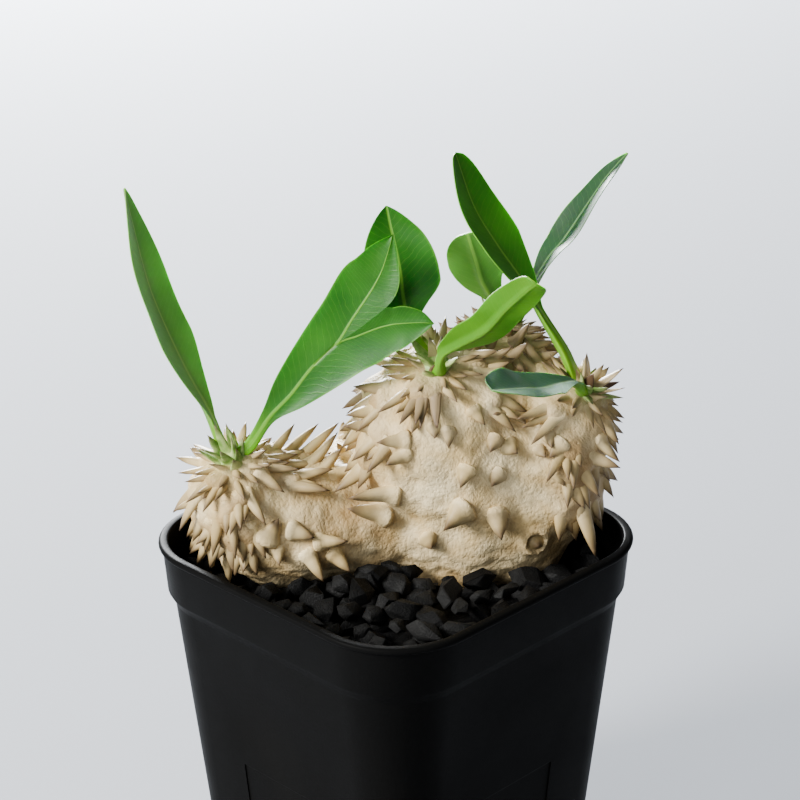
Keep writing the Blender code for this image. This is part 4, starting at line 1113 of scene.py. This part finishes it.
def inside_pot(x, y, margin):
    """Whether a plant-frame point at the dressing's level clears the pot's wall by the margin."""
    turned = Matrix.Rotation(DIAGONAL, 2) @ Vector((x, y))
    half = (BAND_FOOT_HALF - WALL) / MM - margin
    corner = LIP_CORNER / MM - 4
    far = Vector((max(0, abs(turned.x) - (half - corner)), max(0, abs(turned.y) - (half - corner))))
    return far.length < corner


def add_stone(bm, place, size, draw, tone_layer):
    """An angular lump: the hull of jittered points on a squashed ball, with its edges worn."""
    stone = bmesh.new()
    squash = Vector((draw.uniform(0.9, 1.35), draw.uniform(0.65, 0.95), draw.uniform(0.55, 0.85)))
    for number in range(STONE_POINTS):
        high = 1 - 2 * (number + 0.5) / STONE_POINTS
        around = number * GOLDEN_ANGLE + draw.uniform(-0.3, 0.3)
        out = math.sqrt(1 - high * high)
        spot = Vector((out * math.cos(around), out * math.sin(around), high)) * draw.uniform(0.75, 1.15)
        stone.verts.new(spot * squash * size)
    hull = bmesh.ops.convex_hull(stone, input=stone.verts)
    inside = {v for v in hull["geom_interior"] if isinstance(v, bmesh.types.BMVert)}
    bmesh.ops.delete(stone, geom=list(inside), context="VERTS")
    bmesh.ops.dissolve_limit(stone, angle_limit=math.radians(16), verts=stone.verts, edges=stone.edges)
    worn = size * 0.03
    bmesh.ops.bevel(
        stone, geom=stone.edges[:], offset=worn, segments=2, affect="EDGES", clamp_overlap=True
    )
    turn = Matrix.Rotation(draw.uniform(0, math.tau), 3, "Z")
    turn = turn @ Matrix.Rotation(draw.uniform(-0.7, 0.7), 3, "X")
    tone = draw.random() ** 2
    made = {}
    for vert in stone.verts:
        spot = turn @ vert.co
        spot += Vector(noise.noise_vector(spot * 1.1 + place)) * size * 0.06
        made[vert] = bm.verts.new(place + spot)
        made[vert][tone_layer] = tone
    for face in stone.faces:
        bm.faces.new([made[v] for v in face.verts])
    stone.free()


def make_gravel():
    """Two loose layers of stones, which keep clear of the trunk, the wall and each other."""
    draw = random.Random(STONE_SEED)
    noise.seed_set(STONE_SEED)
    bm = bmesh.new()
    tone_layer = bm.verts.layers.float.new("tone")
    placed = []
    for layer, (drop, tries) in enumerate(STONE_LAYERS):
        for _ in range(tries):
            x, y = draw.uniform(-STONE_REACH, STONE_REACH), draw.uniform(-STONE_REACH, STONE_REACH)
            size = draw.uniform(*STONE_SIZES)
            if not inside_pot(x, y, size * 0.9):
                continue
            place = Vector((x, y, ground_level(x, y) - drop + draw.uniform(-0.8, 0.8)))
            if field(np.array([place]))[0] < size * 0.62:
                continue
            near = size * STONE_ROOM
            if any(l == layer and (place - p).length < near + s * STONE_ROOM for p, s, l in placed):
                continue
            placed.append((place, size, layer))
            add_stone(bm, place, size, draw, tone_layer)
    bm.transform(PLANT)
    stones = piece_from(bm, "gravel_stones", stone_finish())
    stones.data.set_sharp_from_angle(angle=math.radians(50))
    return stones


def make_soil():
    """The dark soil under the stones, a slightly uneven sheet closed down to the base."""
    bm = bmesh.new()
    half = body_half(RIM + (GRAVEL_LEVEL - SOIL_DROP + 1) * MM) - WALL - 0.3 * MM
    outline = rounded_square(1, 0.42, 0, 16)
    middle = bm.verts.new((0, 0, 0))
    rings = []
    for row in range(1, SOIL_RINGS + 1):
        share = row / SOIL_RINGS
        ring = []
        for x, y, _ in outline:
            spot = Vector((x * half * share, y * half * share, 0))
            plant = PLANT.inverted() @ spot
            bump = noise.noise(Vector((plant.x, plant.y, 0)) * 0.35)
            spot.z = RIM + (ground_level(plant.x, plant.y) - SOIL_DROP + bump) * MM
            ring.append(bm.verts.new(spot))
        rings.append(ring)
    middle.co.z = rings[0][0].co.z
    count = len(outline)
    for i in range(count):
        bm.faces.new((middle, rings[0][i], rings[0][(i + 1) % count]))
        for low, high in zip(rings[:-1], rings[1:]):
            bm.faces.new((low[i], high[i], high[(i + 1) % count], low[(i + 1) % count]))
    foot = [bm.verts.new((v.co.x * 0.8, v.co.y * 0.8, FLOOR + 0.5 * MM)) for v in rings[-1]]
    for i in range(count):
        bm.faces.new((rings[-1][i], foot[i], foot[(i + 1) % count], rings[-1][(i + 1) % count]))
    bm.faces.new(foot)
    return piece_from(bm, "gravel_soil", stone_finish())


gravel = make_gravel()
soil = make_soil()
for piece in (gravel, soil):
    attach(piece, "root")
    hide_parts("gravel")

# Growing tips
# A soft green bud at the top of each branch, grown from the trunk. Narrow pointed stipules, the
# young spines, stand round the leaf stalks and turn brown at the tip as they dry.
STIPULE_GREEN = (0.12, 0.24, 0.035)
STIPULE_PALE = (0.42, 0.50, 0.19)
STIPULE_BROWN = (0.07, 0.035, 0.02)
# How many stipules each tip has, how far the outer ones lean and what share is dried
TIP_LOOKS = {
    "left": (14, 26, 0.05),
    "middle": (10, 40, 0.15),
    "right": (20, 62, 0.7),
    "back": (16, 50, 0.5),
}
DOME_RADII = (3.4, 3.4, 2.2)


def crown_finish():
    """Green, paler in patches, cream on the outer stipules, brown on the dried ones and at every stipule's
    tip.
    """
    made, tree, shader = finish_named("green growing tip", 0.45, specular_ior_level=0.3)
    along = mesh_value(tree, "along")
    tone = mesh_value(tree, "tone")
    patches, specks = mottled(tree, 500, 2500)
    base = blend_colour(tree, ramp(tree, patches, [(0.35, 0.0), (0.7, 1.0)]), STIPULE_GREEN, STIPULE_PALE)
    base = blend_colour(tree, ramp(tree, tone, [(0.5, 0.0), (0.8, 0.9)]), base, SPINE_CREAM)
    base = blend_colour(tree, ramp(tree, tone, [(0.85, 0.0), (0.95, 0.95)]), base, STIPULE_BROWN)
    base = blend_colour(tree, ramp(tree, along, [(0.72, 0.0), (0.98, 0.95)]), base, STIPULE_BROWN)
    tree.links.new(base, shader.inputs["Base Color"])
    bumped(tree, shader, specks, 0.0001, 0.5)
    return made


CROWN_FINISH = crown_finish()


def make_crown(name, here, stipules, spread, dried):
    """A low dome with a whorl of stipules, and at an older tip the dried ones among them."""
    draw = random.Random(sum(map(ord, name)))
    bm = bmesh.new()
    bm.verts.layers.float.new("along")
    bm.verts.layers.float.new("tone")
    turn = here["out"].to_track_quat("Z", "Y").to_matrix().to_4x4()
    dome = Matrix.Translation(here["place"] + here["out"] * 0.2) @ turn @ Matrix.Diagonal((*DOME_RADII, 1))
    bmesh.ops.create_uvsphere(bm, u_segments=36, v_segments=20, radius=1, matrix=dome)
    first, second = frame_at(here["out"])
    for number in range(stipules):
        ring = math.sqrt((number + 0.5) / stipules)
        around = number * GOLDEN_ANGLE
        across = first * math.cos(around) + second * math.sin(around)
        lean = math.radians(6 + spread * ring + draw.uniform(-8, 8))
        aim = here["out"] * math.cos(lean) + across * math.sin(lean)
        root = here["place"] + across * DOME_RADII[0] * ring + here["out"] * (1.6 - 1.6 * ring * ring)
        length = draw.uniform(4.5, 8.5) * (1.1 - 0.35 * ring)
        dry = draw.random() < dried
        look = draw.uniform(0.7, 1.0) if dry else max(0, ring - 0.35) * draw.uniform(0.3, 1.0)
        girth = draw.uniform(1.1, 1.5)
        add_thorn(bm, root, aim.normalized(), length, girth, across, look, sides=10, rings=10, flat=0.36)
    bm.transform(PLANT)
    return piece_from(bm, f"growing_tip_{name}", CROWN_FINISH)


for name, here in GROWING.items():
    crown = make_crown(name, here, *TIP_LOOKS[name])
    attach(crown, "root")
    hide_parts(f"crown_{name}")

# Leaves
# Eight paddle-shaped leaves, glossy green above and paler below, on short fleshy stalks. Each has
# a pale midrib with fine slanting side veins, and folds up a little along it.
BLADE = 0.38
EDGE_BLADE = 0.24
PETIOLE_THICK = 2.0
LEAF_ROWS = 90
LEAF_COLUMNS = 33
FORKED_STEPS = 8
FORKED_COLUMNS = 16
FORKED_LENGTH = 74
LIGHT_THROUGH = (0.35, 1.0, 0.08)


def leaf_finish(name, dark, light, vein, gloss, blush):
    """Green with a pale midrib and slanting side veins, paler towards the stalk."""
    made, tree, shader = finish_named(name, gloss, specular_ior_level=0.2)
    shader.inputs["Subsurface Weight"].default_value = 0.6
    shader.inputs["Subsurface Radius"].default_value = LIGHT_THROUGH
    shader.inputs["Subsurface Scale"].default_value = 0.0008
    along = mesh_value(tree, "along")
    off = mesh_value(tree, "off")
    stalk = mesh_value(tree, "stalk")
    edge = mesh_value(tree, "edge")
    patches, specks = mottled(tree, 90, 1300)
    wander = calculate(tree, "MULTIPLY", mottled(tree, 260, 900)[0], 2.2)
    slant = calculate(tree, "MULTIPLY", off, 0.75)
    phase = calculate(tree, "ADD", calculate(tree, "SUBTRACT", along, slant), wander)
    wave = calculate(tree, "PINGPONG", calculate(tree, "MULTIPLY", phase, 0.6), 0.5)
    side_vein = ramp(tree, wave, [(0.0, 1.0), (0.06, 0.3), (0.14, 0.0)])
    fine = calculate(tree, "PINGPONG", calculate(tree, "MULTIPLY", phase, 2.4), 0.5)
    fine_vein = ramp(tree, fine, [(0.0, 0.5), (0.3, 0.0)])
    rib_width = calculate(tree, "SUBTRACT", 0.75, calculate(tree, "MULTIPLY", along, 0.0095))
    rib = calculate(tree, "DIVIDE", off, rib_width, clamp=True)
    midrib = ramp(tree, rib, [(0.35, 1.0), (0.9, 0.0)])
    base = blend_colour(tree, ramp(tree, patches, [(0.3, 0.0), (0.7, 1.0)]), dark, light)
    base = blend_colour(tree, calculate(tree, "MULTIPLY", side_vein, 0.12), base, vein)
    base = blend_colour(tree, calculate(tree, "MULTIPLY", fine_vein, 0.08), base, vein)
    base = blend_colour(tree, ramp(tree, edge, [(0.93, 0.0), (1.0, 0.55)]), base, vein)
    base = blend_colour(tree, calculate(tree, "MULTIPLY", stalk, 0.9), base, blush)
    base = blend_colour(tree, calculate(tree, "MULTIPLY", midrib, 0.8), base, vein)
    tree.links.new(base, shader.inputs["Base Color"])
    grain = calculate(tree, "MULTIPLY", specks, 0.5)
    relief = calculate(tree, "SUBTRACT", grain, calculate(tree, "MULTIPLY", side_vein, 0.25))
    relief = calculate(tree, "SUBTRACT", relief, calculate(tree, "MULTIPLY", midrib, 0.8))
    bumped(tree, shader, relief, 0.00008, 0.8)
    return made


# Each finish: two greens of the blade, its veins, its roughness and the green of its stalk
LEAF_LOOKS = {
    "glossy green leaf face": (
        (0.008, 0.082, 0.004), (0.024, 0.140, 0.006), (0.15, 0.36, 0.03), 0.42, (0.13, 0.36, 0.002)
    ),
    # Painted light: a lighter copy of the leaf green, standing in for light on and through the long leaf.
    "green leaf face lightened with painted light": (
        (0.030, 0.160, 0.004), (0.052, 0.230, 0.007), (0.19, 0.43, 0.04), 0.42, (0.22, 0.47, 0.01)
    ),
    # Painted light: a brighter copy of the leaf green for the tall leaf, which faces away from the window
    # light.
    "green leaf face brightened with painted light": (
        (0.12, 0.30, 0.055), (0.17, 0.38, 0.08), (0.30, 0.55, 0.13), 0.45, (0.15, 0.38, 0.01)
    ),
    "deep grey-green leaf face": (
        (0.009, 0.040, 0.013), (0.016, 0.062, 0.020), (0.11, 0.22, 0.08), 0.45, (0.09, 0.27, 0.02)
    ),
    "pale leaf underside": (
        (0.036, 0.118, 0.014), (0.052, 0.162, 0.018), (0.18, 0.36, 0.05), 0.5, (0.16, 0.38, 0.01)
    ),
    # Painted light: a lighter copy of the pale underside, for the back leaf's underside, which gets little of
    # the window light.
    "leaf underside lightened with painted light": (
        (0.062, 0.175, 0.024), (0.085, 0.23, 0.032), (0.18, 0.36, 0.05), 0.5, (0.16, 0.38, 0.01)
    ),
    # Painted sheen: the grey in this green stands for the sky's reflection on the low leaf's glossy face.
    "grey-green leaf face": (
        (0.036, 0.104, 0.050), (0.054, 0.146, 0.074), (0.18, 0.30, 0.14), 0.6, (0.09, 0.27, 0.02)
    ),
    "sunlit leaf underside": (
        (0.048, 0.185, 0.004), (0.078, 0.25, 0.006), (0.12, 0.30, 0.02), 0.5, (0.10, 0.30, 0.004)
    ),
}
LEAF_FINISHES = {name: leaf_finish(name, *look) for name, look in LEAF_LOOKS.items()}


def add_sheet(bm, rows, layers):
    """A closed leaf from rows of (upper point, lower point, values). Undersides take slot 1."""
    grid = []
    for cells in rows:
        line = []
        for upper, lower, values in cells:
            pair = (bm.verts.new(upper), bm.verts.new(lower))
            for vert in pair:
                for name, value in values.items():
                    vert[layers[name]] = value
            line.append(pair)
        grid.append(line)
    for low, high in zip(grid[:-1], grid[1:]):
        for i in range(len(low) - 1):
            bm.faces.new((low[i][0], low[i + 1][0], high[i + 1][0], high[i][0]))
            under = bm.faces.new((low[i][1], high[i][1], high[i + 1][1], low[i + 1][1]))
            under.material_index = 1
        for side in (0, -1):
            bm.faces.new((low[side][0], high[side][0], high[side][1], low[side][1]))
    for line in (grid[0], grid[-1]):
        for i in range(len(line) - 1):
            bm.faces.new((line[i][0], line[i + 1][0], line[i + 1][1], line[i][1]))


def leaf_layers(bm):
    """The values that the leaf's finish reads from its points."""
    return {name: bm.verts.layers.float.new(name) for name in ("along", "off", "stalk", "edge")}


def rib_depth(share, off):
    """How far the midrib stands out below the blade."""
    girth = 0.45 + 0.55 * (1 - share)
    return 1.35 * (1 - share) ** 0.6 * math.exp(-((off / girth) ** 2))


def leaf_cell(place, face, side, across, half, share, stalk, length, fold, wave):
    """One point of a leaf: its upper and lower place and what the material needs to know."""
    round_part = 1 - smooth_step(share, stalk * 0.6, stalk + 0.14)
    reach = across * half
    rise = (math.sqrt(across * across + 0.02) - math.sqrt(0.02)) * math.sin(fold) * half
    ripple = wave * across * across * math.sin(share * 17 + 2 * across)
    top = place + side * reach * math.cos(fold) + face * (rise * (1 - round_part) + ripple)
    arc_share = math.sqrt(max(0, 1 - across * across))
    blade = EDGE_BLADE + (BLADE - EDGE_BLADE) * arc_share + rib_depth(share, abs(reach))
    depth = blade * (1 - round_part) + (0.3 + PETIOLE_THICK * arc_share) * round_part
    top = top - face * round_part * 0.5 * (1 - arc_share)
    values = {
        "along": share * length,
        "off": abs(reach),
        "stalk": float(1 - smooth_step(share, 0.04, stalk + 0.18)),
        "edge": abs(across),
    }
    return top, top - face * depth, values


def make_leaf(name, leaf, faces):
    """A plain leaf from its row of the list, with one finish above and one below."""
    frames, length = leaf_frames(leaf, LEAF_ROWS)
    bm = bmesh.new()
    layers = leaf_layers(bm)
    fold = math.radians(leaf["fold"])
    rows = []
    for share, place, face, side, half in frames:
        wave = 0.25 * float(smooth_step(share, 0.3, 0.6))
        cells = []
        for column in range(LEAF_COLUMNS):
            across = math.sin(math.pi * (column / (LEAF_COLUMNS - 1) - 0.5))
            cells.append(leaf_cell(place, face, side, across, half, share, leaf["stalk"], length, fold, wave))
        rows.append(cells)
    add_sheet(bm, rows, layers)
    bm.transform(PLANT)
    upper, under = faces
    made = piece_from(bm, name + "_blade", LEAF_FINISHES[upper])
    made.data.materials.append(LEAF_FINISHES[under])
    return made


def forked_strip(rib, outers, first, seam=0):
    """The blade between a rib and border points, from the rib's point `first`, with so many seam rows."""
    face = Vector(FORKED_FACE).normalized()
    ribs = curve_through(rib, FORKED_STEPS)
    begin = first * FORKED_STEPS
    lines = []
    for row in range(begin, len(ribs)):
        spot = ribs[row]
        share = row / (len(ribs) - 1)
        round_part = float(1 - smooth_step(share, 0.10, 0.3))
        middle = forked_point(spot, spot)
        outer = outers[row - begin]
        width = (outer - middle).length
        open_share = min(1, max(0, row - begin - seam) / FORKED_STEPS) if seam else 1
        line = []
        for column in range(FORKED_COLUMNS + 1):
            across = math.sin(math.pi / 2 * column / FORKED_COLUMNS)
            top = middle.lerp(outer, across)
            arc_share = math.sqrt(max(0, 1 - across * across))
            wave = 0.2 * across**2 * math.sin(row * 0.3) * (1 - across**8)
            ripple = (wave - 0.3 * math.sin(math.pi * across)) * open_share
            top = top + face * (ripple * (1 - round_part) - round_part * 0.5 * (1 - arc_share))
            thin = (BLADE - EDGE_BLADE) * (1 - arc_share) * open_share
            blade = BLADE - thin + rib_depth(share, across * width)
            depth = blade * (1 - round_part) + (0.3 + PETIOLE_THICK * arc_share) * round_part
            values = {
                "along": share * FORKED_LENGTH, "off": across * width,
                "stalk": float(1 - smooth_step(share, 0.04, 0.22)), "edge": across * open_share,
            }
            line.append((top, top - face * depth, values))
        lines.append(line)
    return lines


def border_points(rib, border, first):
    """Points along a border in step with the rib, which the border's last stretch meets at the tip."""
    ribs = curve_through(rib, FORKED_STEPS)[first * FORKED_STEPS:]
    outs = curve_through([*border, rib[-1]], FORKED_STEPS)
    return [forked_point(out, spot) for out, spot in zip(outs, ribs)]


def join_lines(bm, layers, lines, made):
    """Faces for a strip of lines, with vertices shared where places agree."""
    grid = []
    for cells in lines:
        line = []
        for upper, lower, values in cells:
            pair = []
            for spot in (upper, lower):
                key = tuple(round(c, 3) for c in spot)
                if key not in made:
                    vert = bm.verts.new(spot)
                    for name, value in values.items():
                        vert[layers[name]] = value
                    made[key] = vert
                pair.append(made[key])
            line.append(pair)
        grid.append(line)
    for low, high in zip(grid[:-1], grid[1:]):
        for i in range(len(low) - 1):
            for slot in (0, 1):
                corners = []
                for vert in (low[i][slot], low[i + 1][slot], high[i + 1][slot], high[i][slot]):
                    if vert not in corners:
                        corners.append(vert)
                if len(corners) > 2 and bm.faces.get(corners) is None:
                    bm.faces.new(corners).material_index = slot
    return grid


def make_forked_leaf():
    """The leaf that forks: two strips beside each rib, sewn together along the seam."""
    seat = seat_of(GROWING[FORKED_TIP], FORKED_STALK)
    stalk = Vector((FORKED_STALK[0], FORKED_STALK[2]))
    root = Vector((seat.x, seat.z))
    aim = (stalk - root).normalized()
    side = Vector((-aim.y, aim.x)) * PETIOLE_HALF
    bm = bmesh.new()
    layers = leaf_layers(bm)
    made = {}
    grids = []
    ribs = [[tuple(root), tuple(stalk), *rib] for rib in (UPPER_RIB, LOWER_RIB)]
    fork = len(UPPER_RIB) - len(UPPER_INNER)
    inners = [
        border_points(rib, [rib[fork], *inner], fork) for rib, inner in zip(ribs, (UPPER_INNER, LOWER_INNER))
    ]
    for step in range(2 * FORKED_STEPS + 1):
        inners[0][step] = inners[1][step] = (inners[0][step] + inners[1][step]) / 2
    for rib, edge, inner, hand in zip(ribs, (UPPER_EDGE, LOWER_EDGE), inners, (1, -1)):
        border = [tuple(root + side * hand), tuple(stalk + side * hand), *edge]
        grids.append(join_lines(bm, layers, forked_strip(rib, border_points(rib, border, 0), 0), made))
        grids.append(join_lines(bm, layers, forked_strip(rib, inner, fork, 2 * FORKED_STEPS), made))
    under = {upper: lower for grid in grids for line in grid for upper, lower in line}
    for rim in [e for e in bm.edges if len(e.link_faces) == 1]:
        first, second = rim.verts
        if first in under and second in under:
            corners = (first, second, under[second], under[first])
            if len(set(corners)) == 4:
                bm.faces.new(corners)
    bm.transform(PLANT)
    leaf = piece_from(bm, "leaf_forked_blade", LEAF_FINISHES["glossy green leaf face"])
    leaf.data.materials.append(LEAF_FINISHES["pale leaf underside"])
    return leaf


FACES = {
    "leaf_left_tall": ("green leaf face brightened with painted light", "pale leaf underside"),
    "leaf_broad": ("glossy green leaf face", "pale leaf underside"),
    "leaf_near": ("glossy green leaf face", "sunlit leaf underside"),
    "leaf_long": ("green leaf face lightened with painted light", "pale leaf underside"),
    # The low leaf's grey-green face is painted sheen.
    "leaf_low": ("grey-green leaf face", "pale leaf underside"),
    "leaf_far": ("deep grey-green leaf face", "pale leaf underside"),
    "leaf_small_back": ("glossy green leaf face", "leaf underside lightened with painted light"),
}
blades = {name: make_leaf(name, leaf, FACES[name]) for name, leaf in LEAVES.items()}
blades["leaf_forked"] = make_forked_leaf()
for name, blade in blades.items():
    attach(blade, "root")
    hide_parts(name)

# Studio
# A plain pale floor curved up into a backdrop, not part of the plant. One soft light stands at the
# upper left like a window, with weak ones before and behind, and one that brightens the backdrop.
FLOOR_WIDTH = 6.0
CURVE = 0.8
WALL_RISE = 3.0
BEHIND = 1.6
AHEAD = 3.0
CURVE_STEPS = 24
BACKDROP_DIM = (0.285, 0.299, 0.328)
BACKDROP_BRIGHT = (0.31, 0.324, 0.353)


def make_floor():
    """One sheet: level floor, quarter-round curve and upright wall."""
    bm = bmesh.new()
    profile = [(-AHEAD, 0.0)]
    for step in range(CURVE_STEPS + 1):
        angle = math.pi / 2 * step / CURVE_STEPS
        profile.append((BEHIND + CURVE * math.sin(angle), CURVE * (1 - math.cos(angle))))
    profile.append((BEHIND + CURVE, WALL_RISE))
    half = FLOOR_WIDTH / 2
    pairs = [(bm.verts.new((-half, y, z)), bm.verts.new((half, y, z))) for y, z in profile]
    for low, high in zip(pairs[:-1], pairs[1:]):
        bm.faces.new((low[0], low[1], high[1], high[0]))
    bm.transform(Matrix.Rotation(DIAGONAL, 4, "Z"))
    made, tree, shader = finish_named("pale backdrop", 0.9)
    patches, _ = mottled(tree, 2, 20)
    base = blend_colour(tree, patches, BACKDROP_DIM, BACKDROP_BRIGHT)
    tree.links.new(base, shader.inputs["Base Color"])
    return piece_from(bm, "backdrop", made)


backdrop = make_floor()


def soft_light(name, place, target, size, power, colour):
    """A round area light that shines at the target."""
    lamp = bpy.data.lights.new(name, "AREA")
    lamp.shape = "DISK"
    lamp.size = size
    lamp.energy = power
    lamp.color = colour
    made = bpy.data.objects.new(name, lamp)
    bpy.context.collection.objects.link(made)
    made.location = place
    made.rotation_euler = (target - place).to_track_quat("-Z", "Y").to_euler()


def studio(x, y, z):
    """A place given in the plant's own directions, in metres from the rim's middle."""
    return AT_RIM @ Vector((x, y, z))


# Each light: where it stands, what it shines at, its width, its power and its colour
LIGHTS = {
    "window light": ((-0.85, -0.42, 0.60), (0, 0, 0.02), 0.40, 36.0, (1.0, 0.985, 0.96)),
    "front light": ((-0.6, -0.85, 0.5), (0, 0, 0.02), 0.6, 6.0, (0.94, 0.97, 1.0)),
    "rear light": ((-0.2, 0.8, 0.7), (0, 0, 0.02), 0.5, 2.0, (1.0, 1.0, 1.0)),
    "backdrop light": ((-0.45, 1.75, 0.5), (-0.3, 1.3, -0.1), 0.45, 275.0, (0.95, 0.98, 1.0)),
}
for name, (place, target, size, power, colour) in LIGHTS.items():
    soft_light(name, studio(*place), studio(*target), size, power, colour)
world = bpy.data.worlds.new("studio air")
bpy.context.scene.world = world
world.use_nodes = True
world.node_tree.nodes["Background"].inputs["Color"].default_value = (0.88, 0.91, 0.96, 1)
world.node_tree.nodes["Background"].inputs["Strength"].default_value = 0.26

# Camera
# A long lens looks down a little over the pot's near corner. It is aimed above the rim and a
# little to the right of its middle, and rolled slightly.
ELEVATION = math.radians(23.25)
ROLL = math.radians(-0.5)
DISTANCE = 0.545
LENS = 105.4
AIM_RIGHT = 1.25 * MM
AIM_UP = 31.05 * MM

back = Vector((0, -math.cos(ELEVATION), math.sin(ELEVATION)))
right = Vector((1, 0, 0))
up = back.cross(right)
turned_right = right * math.cos(ROLL) + up * math.sin(ROLL)
turned_up = up * math.cos(ROLL) - right * math.sin(ROLL)
spot = right * AIM_RIGHT + up * AIM_UP + back * DISTANCE
pose = Matrix((
    (turned_right.x, turned_up.x, back.x, spot.x),
    (turned_right.y, turned_up.y, back.y, spot.y),
    (turned_right.z, turned_up.z, back.z, spot.z),
    (0, 0, 0, 1),
))
lens = bpy.data.cameras.new("camera")
lens.lens = LENS
lens.sensor_width = 36
lens.clip_start = 0.01
camera = bpy.data.objects.new("camera", lens)
bpy.context.collection.objects.link(camera)
camera.matrix_world = AT_RIM @ pose
bpy.context.scene.camera = camera
